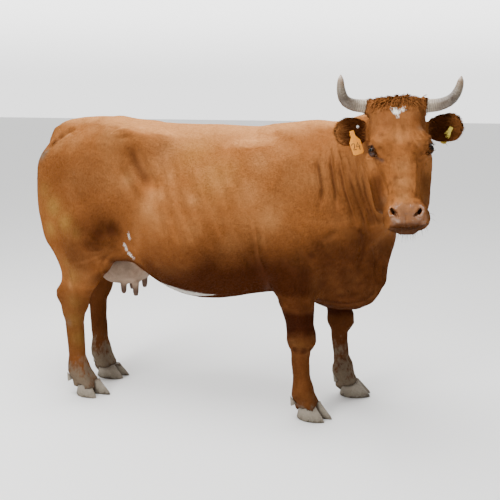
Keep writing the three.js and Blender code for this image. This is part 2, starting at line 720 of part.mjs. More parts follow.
const hornShape = { rootRadius: 28, tipRadius: 2.5, steps: 12, sides: 10 };
const hornPaths = {
  right: [[-92, -40, -198], [-126, -37, -200], [-169, -28, -204], [-198, -12, -216], [-210, 5, -248], [-210, 28, -304]],
  left: [[92, -40, -192], [128, -37, -190], [168, -28, -190], [206, -12, -202], [230, 5, -233], [241, 28, -276]],
};

function horn(word) {
  const curve = new THREE.CatmullRomCurve3(hornPaths[word].map((p) => onHead(...p)));
  const { rootRadius, tipRadius, steps, sides } = hornShape;
  const radiusAt = (t) => tipRadius + (rootRadius - tipRadius) * Math.pow(1 - t, 0.42);
  return toSolid(rodAlong(curve, steps, sides, radiusAt));
}

const mirrored = (side, [u, v, s]) => v3(side * u, v, s);

// The eye's own axes in the head frame: where it looks, and the long and short way of its opening.
function eyeAxes(side) {
  const gaze = mirrored(side, eyePlace.gaze).normalize();
  const long = mirrored(side, eyePlace.length);
  long.addScaledVector(gaze, -long.dot(gaze)).normalize();
  return { centre: mirrored(side, eyePlace.centre), gaze, long, short: gaze.clone().cross(long) };
}

function eyeball(side) {
  const { centre } = eyeAxes(side);
  const ball = new THREE.SphereGeometry(eyePlace.radius, 12, 8);
  ball.translate(centre.x, centre.y, centre.z);
  ball.applyMatrix4(headMatrix);
  return toSolid(ball);
}

// The rim of the eye's almond opening, at a distance from the eye's centre.
const lidShape = { distance: 23, thickness: 4.5, halfLong: 1.06, halfShort: 0.72, points: 12 };

function lidRim(side, distance) {
  const { centre, gaze, long, short } = eyeAxes(side);
  return Array.from({ length: lidShape.points }, (_, i) => {
    const a = (i / lidShape.points) * 2 * Math.PI;
    const along = lidShape.halfLong * Math.cos(a);
    const across = lidShape.halfShort * Math.sin(a) * (1 - 0.35 * Math.cos(a) ** 2);
    const way = gaze.clone().addScaledVector(long, along).addScaledVector(short, across).normalize();
    return onHead(...centre.clone().addScaledVector(way, distance).toArray());
  });
}

function lids(side) {
  const rim = new THREE.CatmullRomCurve3(lidRim(side, lidShape.distance), true);
  return toSolid(outward(new THREE.TubeGeometry(rim, 16, lidShape.thickness, 5, true)));
}

// The opening between the lids, as a cutter that widens outwards from inside the eyeball.
const lidOpening = (side) =>
  toSolid(outward(loftRings([lidRim(side, 12), lidRim(side, lidShape.distance), lidRim(side, 60)])));

// An ear is a cupped leaf with its hollow to the front and a wall that thins to the rim.
const earShape = { length: { right: 150, left: 184 }, halfWidth: 56, cup: 46, wall: 7, rows: 8, columns: 5 };
const earWidth = smoothCurve([
  [0, 0.5],
  [0.15, 0.85],
  [0.55, 1],
  [0.8, 0.82],
  [0.94, 0.46],
  [1, 0.18],
]);
const earBend = smoothCurve([
  [0, 0.3],
  [0.2, 1.2],
  [0.6, 1],
  [0.9, 0.7],
  [1, 0.3],
]);
const earAxes = (() => {
  const out = v3(0.9, -0.33, -0.26).normalize();
  const open = v3(0.36, 0.86, 0.32).normalize();
  const across = new THREE.Vector3().crossVectors(out, open).normalize();
  return { root: v3(106, -76, -104), out, across, facing: new THREE.Vector3().crossVectors(across, out) };
})();

// The ear's section at the share t of its length: how far across and how far forward w lies.
function earSection(t, w) {
  const bend = w * earBend(t);
  return [earShape.halfWidth * earWidth(t) * Math.sin(bend) / Math.sin(earBend(t)), earShape.cup * (1 - Math.cos(bend))];
}

// A point of the ear at the share t of its length and w of its half width, inside or behind the cup,
// moved out of the ear by the distance spare.
function earPoint(side, t, w, inner, spare = 0) {
  const { root, out, across, facing } = earAxes;
  const length = side < 0 ? earShape.length.right : earShape.length.left;
  const here = new THREE.Vector2(...earSection(t, w));
  const along = new THREE.Vector2(...earSection(t, w + 0.01)).sub(here).normalize();
  const thick = ((earShape.wall / 2) * (1 - 0.7 * w * w) * (1 - 0.45 * t) + spare) * (inner ? 1 : -1);
  const rim = w * spare;
  const p = root
    .clone()
    .addScaledVector(out, length * t + (t > 0 ? spare : -spare))
    .addScaledVector(across, here.x + rim * along.x - thick * along.y)
    .addScaledVector(facing, here.y + rim * along.y + thick * along.x - 10 * t * t);
  return onHead(side * p.x, p.y, p.z);
}

function ear(side, spare = 0) {
  const { rows, columns } = earShape;
  const rings = Array.from({ length: rows + 1 }, (_, r) => {
    const inner = Array.from({ length: columns + 1 }, (_, c) => earPoint(side, r / rows, (2 * c) / columns - 1, true, spare));
    const outer = Array.from({ length: columns + 1 }, (_, c) => earPoint(side, r / rows, 1 - (2 * c) / columns, false, spare));
    return [...inner, ...outer];
  });
  return toSolid(outward(loftRings(rings)));
}

// ---------------------------------------------------------------- nostrils and mouth

function nostril(side) {
  const hole = new THREE.SphereGeometry(1, 8, 6);
  hole.scale(10, 20, 18);
  hole.rotateY(side * -0.7);
  hole.translate(side * 44 + 2, 22, 265);
  hole.applyMatrix4(headMatrix);
  return toSolid(outward(hole));
}

// The mouth line, as a groove round the muzzle in one tilted plane.
const mouthShape = { middle: v3(4, -64, 250), forward: v3(0, 0.5, 0.866), sweep: 105, groove: 3.2, points: 17 };

function mouthGroove() {
  const { middle, forward, sweep, groove, points } = mouthShape;
  const line = Array.from({ length: points }, (_, i) => {
    const a = (sweep * (2 * (i / (points - 1)) - 1)) * degrees;
    const way = forward.clone().multiplyScalar(Math.cos(a)).addScaledVector(v3(1, 0, 0), Math.sin(a));
    let near = 0;
    let far = 160;
    while (far - near > 0.1) {
      const half = (near + far) / 2;
      const p = middle.clone().addScaledVector(way, half);
      if (headShape(p.x, p.y, p.z) < 0) near = half;
      else far = half;
    }
    return onHead(...middle.clone().addScaledVector(way, near).toArray());
  });
  return toSolid(rodAlong(new THREE.CatmullRomCurve3(line), 18, 4, () => groove));
}

// ---------------------------------------------------------------- claws

const clawShape = { halfWidth: 31, heelHeight: 44, toeSlope: 0.9, heelSlope: 0.2, splay: 6 };
// Each claw's length, how far its toe stands out from the foot, how much it narrows to the toe,
// how far it lies back on the foot and how high it is.
const clawKinds = {
  usual: { length: 158, fan: 0, pinch: 0.42, back: 4, height: 76 },
  fore_right_right: { length: 150, fan: 2, pinch: 0.32, back: 14, height: 76 },
  hind_right_right: { length: 134, fan: 20, pinch: 0.36, back: 22, height: 76 },
  hind_right_left: { length: 176, fan: 0, pinch: 0.42, back: 8, height: 76 },
  hind_left_left: { length: 176, fan: 0, pinch: 0.42, back: 4, height: 62 },
  hind_left_right: { length: 160, fan: 0, pinch: 0.42, back: 4, height: 66 },
};
const cleft = 3; // from the foot's middle plane to each claw's inner wall

// Half of a cloven hoof: rings from the flat sole up to the sloping coronet.
function claw(leg, side, kind = clawKinds.usual) {
  const { halfWidth, heelHeight, toeSlope, heelSlope, splay } = clawShape;
  const { length, fan, back, height } = kind;
  const turned = { ...leg, toeOut: leg.toeOut + side * splay };
  const levels = [0, 0.15, 0.6, 1];
  const sides = 12;
  const rings = levels.map((level) =>
    Array.from({ length: sides }, (_, i) => {
      const a = (i / sides) * 2 * Math.PI;
      const forward = Math.cos(a);
      const outer = Math.sin(a);
      const rim = heelHeight + (height - heelHeight) * (0.5 + 0.5 * forward);
      const up = rim * level;
      const foot = level === 0 ? 0.95 : 1;
      const toe = forward > 0 ? length * 0.56 - toeSlope * up : length * 0.44 - heelSlope * up;
      const bulge = outer > 0 ? halfWidth * 1.35 : halfWidth * 0.65;
      const pinch = forward > 0 ? 1 - kind.pinch * forward * forward : 1;
      const lean = 0.1 * up;
      const left = cleft + halfWidth * 0.65 + outer * bulge * pinch * foot - (outer > 0 ? lean : 0);
      const inward = forward > 0 ? (7 - fan * (1 - 0.5 * level)) * forward * forward : 0;
      const p = footPoint(turned, forward * toe * foot - back, side * (left - inward), up);
      return v3(...p);
    }),
  );
  return toSolid(outward(loftRings(rings)));
}

function dewclaw(leg, side) {
  const cone = new THREE.ConeGeometry(17, 46, 8);
  cone.scale(1, 1, 0.8);
  cone.rotateX(Math.PI / 2 + 0.45);
  cone.rotateZ(-Math.PI / 2);
  cone.rotateZ(leg.toeOut * degrees);
  const [x, y, z] = shifted(leg.fetlock, -(leg.dewclaw ?? 47), side * 23, -45);
  cone.translate(x, y, z);
  return toSolid(cone);
}

// ---------------------------------------------------------------- teats and tail

const teatPlaces = {
  teat_fore_right: [-401, -68, 557],
  teat_fore_left: [-408, 54, 570],
  teat_hind_right: [-468, -60, 563],
  teat_hind_left: [-474, 50, 558],
};
const teatLength = 66;

function teat([x, y, z]) {
  const profile = [
    [0, 14],
    [16, 12],
    [15, 0],
    [12.5, -22],
    [11, -44],
    [8, -56],
    [0, -60],
  ].map(([r, h]) => new THREE.Vector2(r, (h / 60) * teatLength));
  const body = new THREE.LatheGeometry(profile.reverse(), 8);
  body.rotateX(Math.PI / 2);
  body.translate(x, y, z);
  return toSolid(outward(mergeVertices(body, 1e-3)));
}

const tailPath = new THREE.CatmullRomCurve3([
  v3(-765, 0, 1292),
  v3(-812, 0, 1280),
  v3(-841, 0, 1240),
  v3(-852, 2, 1160),
  v3(-862, 5, 1070),
  v3(-862, 10, 950),
  v3(-845, 16, 820),
  v3(-818, 24, 700),
  v3(-800, 30, 620),
]);

function tailDock() {
  return toSolid(rodAlong(tailPath, 13, 7, (t) => 34 - 20 * Math.pow(t, 0.6)));
}

// The tail's switch: a short core with long locks round it, in two tiers.
const switchShape = { core: [v3(-801, 30, 632), v3(-794, 33, 570), v3(-791, 35, 510)], radius: 17, seed: 9 };
const switchTiers = [
  { count: 5, root: 600, tip: 440, out: 27, width: 32 },
  { count: 4, root: 556, tip: 398, out: 19, width: 30 },
];

function tailSwitch() {
  const draw = drawsFrom(switchShape.seed);
  const core = toSolid(
    rodAlong(new THREE.CatmullRomCurve3(switchShape.core), 3, 6, (t) => switchShape.radius * (1.1 - 0.5 * t)),
  );
  const locks = switchTiers.flatMap(({ count, root, tip, out, width }, tier) =>
    Array.from({ length: count }, (_, i) => {
      const a = ((i + 0.5 * tier) / count) * 2 * Math.PI + draw(-0.2, 0.2);
      const outwards = v3(Math.cos(a), Math.sin(a), 0);
      const end = tip + draw(-22, 26);
      const points = [0, 0.3, 0.65, 1].map((t, k) => {
        const reach = [4, 0.85 * out, out, 0.5 * out + draw(-6, 6)][k];
        return v3(-798 + 8 * t, 31 + 4 * t, root + (end - root) * t).addScaledVector(outwards, reach);
      });
      return hairLock(points, outwards, width, 9);
    }),
  );
  return locks.reduce((sum, lock) => sum.add(lock), core);
}

// ---------------------------------------------------------------- ear tags

// A tag hangs on a pin through the ear: a panel with a narrow neck, the pin and the button behind.
const tagKinds = {
  right: { at: [0.5, 0.2], stand: 36, neck: 8, shoulder: 22, body: 21, drop: 88, lean: 16, turn: 6, tip: -18 },
  left: { at: [0.62, 0.2], stand: 20, neck: 7, shoulder: 13, body: 13, drop: 62, lean: -26, turn: -14, tip: -18 },
};
const tagDepth = 2.6;
const studKind = { at: [0.3, -0.35], button: 6.5, pin: 2.6, disk: 8 };

// A round pin from front to back of an ear, about its middle.
function roundPin(radius, length, middle) {
  const pin = new THREE.CylinderGeometry(radius, radius, length, 8);
  pin.rotateX(Math.PI / 2);
  pin.translate(0, 0, middle);
  return toSolid(pin);
}

// A small stud through the right ear: a button in the cup, its pin and a disk behind.
function earStud() {
  const { at, button, pin, disk } = studKind;
  const shape = roundPin(pin, 20, -1).add(roundPin(button, 3, 8)).add(roundPin(disk, 2.5, -10));
  const spot = earPoint(-1, ...at, true);
  const behind = earPoint(-1, ...at, false);
  const turned = new THREE.Quaternion().setFromUnitVectors(v3(0, 0, 1), spot.clone().sub(behind).normalize());
  const middle = spot.add(behind).multiplyScalar(0.5);
  return toSolid(toGeometry(shape).applyMatrix4(new THREE.Matrix4().compose(middle, turned, v3(1, 1, 1))));
}

function earTag(side, kind) {
  const { at, stand, neck, shoulder, body, drop, lean, turn, tip } = kind;
  const panel = new THREE.Shape();
  panel.moveTo(-neck, 9);
  panel.lineTo(neck, 9);
  panel.lineTo(neck + 1, -0.16 * drop);
  panel.lineTo(shoulder, -0.4 * drop);
  panel.lineTo(body, -drop + 6);
  panel.lineTo(body - 6, -drop);
  panel.lineTo(-body + 6, -drop);
  panel.lineTo(-body, -drop + 6);
  panel.lineTo(-shoulder, -0.4 * drop);
  panel.lineTo(-neck - 1, -0.16 * drop);
  panel.closePath();
  const plate = new THREE.ExtrudeGeometry(panel, { depth: tagDepth, bevelEnabled: false });
  plate.translate(0, 0, stand);
  const shape = toSolid(plate).add(roundPin(4.5, stand + 18, (stand - 11) / 2)).add(roundPin(11, 3, -13));
  const middle = earPoint(side, ...at, true);
  const placed = new THREE.Matrix4()
    .makeRotationZ(0)
    .premultiply(new THREE.Matrix4().makeBasis(headLeft, v3(0, 0, 1), headForward).setPosition(middle));
  const pose = new THREE.Matrix4().makeRotationFromEuler(new THREE.Euler(tip * degrees, turn * degrees, lean * degrees, "YXZ"));
  return toSolid(toGeometry(shape).applyMatrix4(placed.multiply(pose)));
}

// ---------------------------------------------------------------- assembly

const colours = {
  coat: 0x8a4a20,
  udder: 0xa89088,
  horn: 0x9a948a,
  hoof: 0x8d8678,
  eye: 0x120c08,
  tag: 0xe8a040,
  stud: 0xd8d4cc,
  hair: 0x5a3a20,
};

const cow = new THREE.Group();
function addNode(name, solid, colour, roughness = 0.8) {
  const look = new THREE.MeshStandardMaterial({ color: colours[colour], roughness, metalness: 0 });
  const mesh = new THREE.Mesh(toGeometry(solid), look);
  mesh.name = name;
  cow.add(mesh);
}

// Where the neck leaves the trunk and where the head leaves the neck.
const neckCut = { at: v3(520, 0, 1000), facing: v3(0.82, 0, 0.57).normalize() };
const headCut = {
  at: onHead(0, -158, -60),
  facing: faceOut.clone().multiplyScalar(0.93).addScaledVector(faceDown, 0.364).normalize(),
};

// Meshing grids, low and high corners and cell size, each reaching a little past its piece.
const grids = {
  torso: { low: [-960, -420, 440], high: [900, 420, 1420], cell: [80, 53, 55] },
  neck: { low: [240, -560, 500], high: [1060, 260, 1500], cell: [52, 48, 54] },
  head: { low: [640, -760, 880], high: [1170, -210, 1580], cell: [22, 22, 22] },
  udder: { low: [-700, -200, 440], high: [-280, 200, 800], cell: [47, 43, 41] },
  leg: [28, 26, 43],
};
const legBoxes = {
  fore_right: { low: [230, -420, -40], high: [530, -86, 556] },
  fore_left: { low: [310, 92, -40], high: [664, 420, 556] },
  hind_right: { low: [-960, -420, -40], high: [-455, -4, 690] },
  hind_left: { low: [-960, 4, -40], high: [-455, 420, 690] },
};
const mesh = ({ low, high, cell }, field = flesh) => indexedSolid(meshField(field, low, high, cell));
const within = ({ low, high }) => cutBox(low, high);
const around = ({ low, high }) =>
  cutBox(
    low.map((x) => x - gap),
    high.map((x) => x + gap),
  );
const without = (solid, others) => others.reduce((rest, other) => rest.subtract(grown(other)), solid);

const sides = [
  [-1, "right"],
  [1, "left"],
];
const horns = sides.map(([, word]) => horn(word));
const eyes = sides.map(([side]) => eyeball(side));
const tags = sides.map(([side, word]) => earTag(side, tagKinds[word]));
const stud = earStud();
const ears = sides.map(([side], i) => without(ear(side), side < 0 ? [tags[i], stud] : [tags[i]]));
const teats = Object.entries(teatPlaces).map(([name, place]) => [name, teat(place)]);
const dock = tailDock();
const udder = without(mesh(grids.udder, udderField), teats.map(([, solid]) => solid));

const neckFace = slabBeyond(neckCut.at, neckCut.facing);
const neckBack = slabBeyond(neckCut.at.clone().addScaledVector(neckCut.facing, -gap), neckCut.facing);
const headFace = slabBeyond(headCut.at, headCut.facing);
const headBack = slabBeyond(headCut.at.clone().addScaledVector(headCut.facing, -gap), headCut.facing);

let torso = mesh(grids.torso).subtract(neckBack);
for (const box of Object.values(legBoxes)) torso = torso.subtract(around(box));
torso = largest(without(torso, [udder, dock]));

const neck = largest(mesh(grids.neck).intersect(neckFace).subtract(headBack));

let head = mesh(grids.head).intersect(headFace);
for (const [i, [side]] of sides.entries()) {
  head = head.subtract(grown(eyes[i])).add(lids(side)).subtract(lidOpening(side)).subtract(nostril(side));
}
for (const lock of pollLocks()) head = head.add(lock);
for (const [side] of sides) head = head.subtract(ear(side, 2 * gap));
head = largest(without(head.subtract(mouthGroove()), [...horns, ...eyes]));

addNode("torso", torso, "coat");
addNode("neck", neck, "coat");
addNode("head", head, "coat");
for (const [name, leg] of Object.entries(legs)) {
  const box = legBoxes[name];
  const wide = { low: box.low.map((x) => x - 40), high: box.high.map((x) => x + 40), cell: grids.leg };
  const feet = sides.flatMap(([side, word]) => [
    [`claw_${name}_${word}`, claw(leg, side, clawKinds[`${name}_${word}`])],
    [`dewclaw_${name}_${word}`, dewclaw(leg, side)],
  ]);
  const limbSolid = without(mesh(wide).intersect(within(box)), [...feet.map(([, solid]) => solid), udder]);
  addNode(`leg_${name}`, largest(limbSolid), "coat");
  for (const [node, solid] of feet) addNode(node, solid, "hoof", 0.6);
}
for (const [i, [, word]] of sides.entries()) {
  addNode(`horn_${word}`, horns[i], "horn", 0.5);
  addNode(`eye_${word}`, eyes[i], "eye", 0.1);
  addNode(`ear_${word}`, ears[i], "coat");
  addNode(`ear_tag_${word}`, tags[i], "tag", 0.45);
}
addNode("ear_stud_right", stud, "stud", 0.4);
addNode("udder", udder, "udder");
for (const [name, solid] of teats) addNode(name, solid, "udder");
addNode("tail", dock, "coat");
addNode("tail_switch", largest(without(tailSwitch(), [dock])), "hair");

const bounds = new THREE.Box3().setFromObject(cow);
cow.position.set(-(bounds.min.x + bounds.max.x) / 2, -(bounds.min.y + bounds.max.y) / 2, -bounds.min.z);

export default cow;
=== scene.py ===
import bpy
import math
import numpy as np
from mathutils import Matrix, Vector


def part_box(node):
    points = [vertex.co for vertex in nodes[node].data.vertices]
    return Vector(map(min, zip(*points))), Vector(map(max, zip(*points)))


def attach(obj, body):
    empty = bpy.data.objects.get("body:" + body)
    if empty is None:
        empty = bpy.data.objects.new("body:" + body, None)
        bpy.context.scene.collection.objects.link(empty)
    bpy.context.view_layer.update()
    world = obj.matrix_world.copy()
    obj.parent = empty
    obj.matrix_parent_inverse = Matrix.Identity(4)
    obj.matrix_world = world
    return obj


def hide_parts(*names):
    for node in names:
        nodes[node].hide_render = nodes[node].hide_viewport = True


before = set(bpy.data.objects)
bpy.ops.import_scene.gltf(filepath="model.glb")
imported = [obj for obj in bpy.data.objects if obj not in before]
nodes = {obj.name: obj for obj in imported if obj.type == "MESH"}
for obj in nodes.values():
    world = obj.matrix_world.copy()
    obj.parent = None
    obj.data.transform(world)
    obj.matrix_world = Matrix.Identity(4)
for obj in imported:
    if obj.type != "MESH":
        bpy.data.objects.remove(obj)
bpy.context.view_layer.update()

# Everything is placed from the head, whose origin lies midway between the eyes.
headPose = {"heading": -77.0, "faceTilt": 30.0, "roll": 2.5, "eyesAt": (0.7774, -0.3428, 1.266)}


def boxMiddle(name):
    low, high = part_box(name)
    return (Vector(low) + Vector(high)) / 2


heading, tilt = math.radians(headPose["heading"]), math.radians(headPose["faceTilt"])
headForward = Vector((math.cos(heading), math.sin(heading), 0))
rollTurn = Matrix.Rotation(math.radians(headPose["roll"]), 3, headForward)
headUp = rollTurn @ Vector((0, 0, 1))
headLeft = rollTurn @ Vector((0, 0, 1)).cross(headForward)
faceDown = headForward * math.sin(tilt) - headUp * math.cos(tilt)
faceOut = headForward * math.cos(tilt) + headUp * math.sin(tilt)
headOrigin = (boxMiddle("eye_right") + boxMiddle("eye_left")) / 2 + faceOut * 0.001 - faceDown * 0.002
drift = np.array(headOrigin) - np.array(headPose["eyesAt"])
headAxes = np.array([headLeft, faceOut, faceDown])


def toHead(points):
    return (points - np.array(headOrigin)) @ headAxes.T


def onHead(u, v, s):
    return np.array(headOrigin) + (np.array([u, v, s]) * 0.001) @ headAxes


def placed(x, y, z):
    return np.array([x, y, z]) + drift


def corners(name):
    return (np.array(corner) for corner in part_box(name))


def inBox(points, name, margin, top=None):
    low, high = corners(name)
    over = np.array([margin, margin, margin if top is None else top])
    return np.all((points > low - margin) & (points < high + over), axis=1)


# ---- helpers for shader nodes

def feed(tree, node, values):
    # Links or sets the named sockets of a node.
    for key, value in values.items():
        if isinstance(value, bpy.types.NodeSocket):
            tree.links.new(value, node.inputs[key])
        else:
            node.inputs[key].default_value = value


def addNode(tree, kind, values, **settings):
    node = tree.nodes.new("ShaderNode" + kind)
    for key, value in settings.items():
        setattr(node, key, value)
    feed(tree, node, values)
    return node


def newMaterial(name):
    material = bpy.data.materials.new(name)
    material.use_nodes = True
    return material, material.node_tree, material.node_tree.nodes["Principled BSDF"]


def plainMaterial(name, colour, **others):
    material, tree, shader = newMaterial(name)
    feed(tree, shader, {"Base Color": colour, **others})
    return material


def mathNode(tree, operation, a, b):
    return addNode(tree, "Math", {0: a, 1: b}, operation=operation).outputs[0]


def stretched(tree, value, middle, factor):
    return mathNode(tree, "MULTIPLY", mathNode(tree, "SUBTRACT", value, middle), factor)


def smoothRange(tree, value, source, target):
    inputs = {"Value": value, "From Min": source[0], "From Max": source[1], "To Min": target[0], "To Max": target[1]}
    return addNode(tree, "MapRange", inputs, interpolation_type="SMOOTHSTEP").outputs["Result"]


def mixColours(tree, factor, a, b):
    return addNode(tree, "Mix", {0: factor, 6: a, 7: b}, data_type="RGBA").outputs[2]


def noiseNode(tree, vector, scale, detail=3.0, roughness=0.55):
    values = {"Vector": vector, "Scale": scale, "Detail": detail, "Roughness": roughness}
    return addNode(tree, "TexNoise", values).outputs["Fac"]


def separated(tree, colour):
    return addNode(tree, "SeparateColor", {0: colour}).outputs


def readAttribute(tree, name):
    return addNode(tree, "Attribute", {}, attribute_name=name).outputs


def objectPlace(tree):
    return addNode(tree, "TexCoord", {}).outputs["Object"]


def bumped(tree, shader, height, strength, distance):
    bump = addNode(tree, "Bump", {"Strength": strength, "Distance": distance, "Height": height})
    feed(tree, shader, {"Normal": bump.outputs["Normal"]})


# ---- camera, floor and light

view = {"at": (1.0953, -3.3844, 1.5), "aim": (0.0444, 0.1632, 0.742), "lens": 58.176, "sensor": 36.0, "frame": 500}
light = {
    "sky": 0.38,
    "backdrop": 3.6,
    "screen": (0.1, 0.8),
    "skyline": 0.62,
    "fade": (0.0, 0.10),
    "floor": (0.93, 0.93, 0.92, 1.0),
    "lamps": {
        # place, aim, size and power
        "overhead": ((-0.3, -0.5, 4.2), (0, 0.1, 0.6), 3.0, 250.0),
        "key": ((-1.9, -4.1, 3.5), (0, 0, 0.9), 1.8, 165.0),
        "fill": ((3.2, -3.8, 1.8), (0.5, -0.2, 1.0), 2.4, 20.0),
    },
}


def areaLight(name, place, aim, size, power):
    bpy.ops.object.light_add(type="AREA", location=place)
    lamp = bpy.context.active_object
    lamp.name = name
    lamp.data.shape = "DISK"
    lamp.data.size = size
    lamp.data.energy = power
    lamp.rotation_euler = (Vector(aim) - Vector(place)).to_track_quat("-Z", "Y").to_euler()


def makeStage():
    eyePoint, aim = placed(*view["at"]), placed(*view["aim"])
    bpy.ops.object.camera_add(location=eyePoint)
    camera = bpy.context.active_object
    camera.name = "camera"
    camera.data.lens = view["lens"]
    camera.data.sensor_width = view["sensor"]
    camera.rotation_euler = Vector(aim - eyePoint).to_track_quat("-Z", "Y").to_euler()
    bpy.context.scene.camera = camera
    bpy.ops.mesh.primitive_plane_add(size=60, location=(0, 0, -0.0012))
    floor = bpy.context.active_object
    floor.name = "floor"
    floor.data.materials.append(plainMaterial("floorPaint", light["floor"], Roughness=0.9))
    world = bpy.data.worlds.new("studio")
    world.use_nodes = True
    tree = world.node_tree
    # a plain sky with a bright, wide screen behind the animal
    way = addNode(tree, "TexCoord", {}).outputs["Generated"]
    forward = Vector((aim - eyePoint) * np.array((1, 1, 0))).normalized()
    ahead = addNode(tree, "VectorMath", {0: way, 1: forward}, operation="DOT_PRODUCT").outputs["Value"]
    screen = smoothRange(tree, ahead, light["screen"], (light["sky"], light["backdrop"]))
    rise = addNode(tree, "SeparateXYZ", {0: way}).outputs[2]
    fade = smoothRange(tree, rise, light["fade"], (light["skyline"], 1.0))
    strength = mathNode(tree, "MULTIPLY", screen, fade)
    feed(tree, tree.nodes["Background"], {"Strength": strength, "Color": (1, 1, 1, 1)})
    bpy.context.scene.world = world
    for name, values in light["lamps"].items():
        areaLight(name, *values)


makeStage()
seer = placed(*view["at"])
lookAlong = placed(*view["aim"]) - seer
lookAlong /= np.linalg.norm(lookAlong)
lookRight = np.cross(lookAlong, (0, 0, 1))
lookRight /= np.linalg.norm(lookRight)
lookUp = np.cross(lookRight, lookAlong)
focal = view["lens"] / view["sensor"] * view["frame"]


def seenPlace(points):
    rel = points - seer
    deep = rel @ lookAlong
    return view["frame"] / 2 + focal * (rel @ lookRight) / deep, view["frame"] / 2 - focal * (rel @ lookUp) / deep


def seenOn(thing, x, y):
    half = view["frame"] / 2
    way = lookAlong + lookRight * (x - half) / focal + lookUp * (half - y) / focal
    hit, place, normal, face = thing.ray_cast(Vector(seer), Vector(way).normalized())
    return np.array(place) if hit else None


# ---- helpers

def selectOnly(*things):
    bpy.ops.object.select_all(action="DESELECT")
    for thing in things:
        thing.select_set(True)
    bpy.context.view_layer.objects.active = things[0]


def readPoints(thing):
    mesh = thing.data
    points = np.empty(len(mesh.vertices) * 3)
    mesh.vertices.foreach_get("co", points)
    return points.reshape(-1, 3)


def readNormals(thing):
    mesh = thing.data
    normals = np.empty(len(mesh.vertices) * 3)
    mesh.vertices.foreach_get("normal", normals)
    return normals.reshape(-1, 3)


def writePoints(thing, points):
    thing.data.vertices.foreach_set("co", np.ascontiguousarray(points).ravel())
    thing.data.update()


def applyModifier(thing, kind, **values):
    selectOnly(thing)
    modifier = thing.modifiers.new(kind.lower(), kind)
    for key, value in values.items():
        setattr(modifier, key, value)
    bpy.ops.object.modifier_apply(modifier=modifier.name)


def nodeCopy(name, grow=0.0):
    thing = nodes[name].copy()
    thing.data = nodes[name].data.copy()
    bpy.context.collection.objects.link(thing)
    selectOnly(thing)
    bpy.ops.object.mode_set(mode="EDIT")
    bpy.ops.mesh.select_all(action="SELECT")
    bpy.ops.mesh.remove_doubles(threshold=1e-5)
    bpy.ops.object.mode_set(mode="OBJECT")
    if grow:
        writePoints(thing, readPoints(thing) + grow * readNormals(thing))
    thing.data.materials.clear()
    return thing


def unit(vectors):
    return vectors / np.maximum(np.linalg.norm(vectors, axis=-1, keepdims=True), 1e-9)


def smoothStep(low, high, x):
    t = np.clip((x - low) / (high - low), 0, 1)
    return t * t * (3 - 2 * t)


def cloudNoise(points, size, seed=0):
    # Smooth noise from 0 to 1 on a lattice of the given size.
    p = points / size + 100 + seed * 17.31
    cell = np.floor(p).astype(np.int64)
    f = p - cell
    f = f * f * (3 - 2 * f)
    total = np.zeros(len(p))
    for corner in range(8):
        step = np.array([corner & 1, corner >> 1 & 1, corner >> 2 & 1])
        c = cell + step
        mixed = (c[:, 0] * 73856093) ^ (c[:, 1] * 19349663) ^ (c[:, 2] * 83492791)
        mixed = (mixed ^ (mixed >> 13)) * 1274126177 & 0xFFFFFFFF
        value = ((mixed ^ (mixed >> 16)) & 0xFFFF) / 65535.0
        weight = np.prod(np.where(step, f, 1 - f), axis=1)
        total += value * weight
    return total


def mottled(points, size, seed=0):
    return (
        0.55 * cloudNoise(points, size, seed)
        + 0.3 * cloudNoise(points, size * 0.47, seed + 1)
        + 0.15 * cloudNoise(points, size * 0.21, seed + 2)
    )


def lineDistance(points, path):
    # Distance to a path of straight stretches, and the share of its length at the nearest place.
    path = np.array(path)
    best = np.full(len(points), 1e9)
    share = np.zeros(len(points))
    lengths = np.linalg.norm(np.diff(path, axis=0), axis=1)
    ends = np.concatenate([[0], np.cumsum(lengths)]) / max(lengths.sum(), 1e-9)
    for i in range(len(path) - 1):
        a, b = path[i], path[i + 1]
        along = b - a
        t = np.clip(((points - a) @ along) / max(along @ along, 1e-12), 0, 1)
        d = np.linalg.norm(points - (a + t[:, None] * along), axis=1)
        near = d < best
        best[near] = d[near]
        share[near] = (ends[i] + t * (ends[i + 1] - ends[i]))[near]
    return best, share


print("stage and helpers ready")

# ---- the hide: one skin over all the flesh

hide = {
    "voxel": 0.0045,
    "overlap": 0.0005,
    "earOverlap": 0.0016,
    "smoothRounds": 90,
    "neckRounds": 120,
    "triangles": 188000,
    "seatDepth": 0.003,
    "seatLength": 0.018,
}
fleshNames = [
    name
    for name in nodes
    if name in ("torso", "neck", "head", "udder", "tail", "ear_right", "ear_left")
    or name.startswith(("leg_", "teat_"))
]
teatNames = [name for name in fleshNames if name.startswith("teat_")]
middleLine = 0.1632 + drift[1]


def bodyPlace(points):
    # Length along the body, height, and distance from its middle plane.
    return points[:, 0] - drift[0], points[:, 2], np.abs(points[:, 1] - middleLine)


def joinFlesh():
    parts = [
        nodeCopy(name, hide["earOverlap"] if name.startswith("ear") else hide["overlap"]) for name in fleshNames
    ]
    selectOnly(*parts)
    bpy.ops.object.join()
    skin = bpy.context.view_layer.objects.active
    skin.name = "hide"
    applyModifier(skin, "REMESH", mode="VOXEL", voxel_size=hide["voxel"], adaptivity=0.0)
    return skin


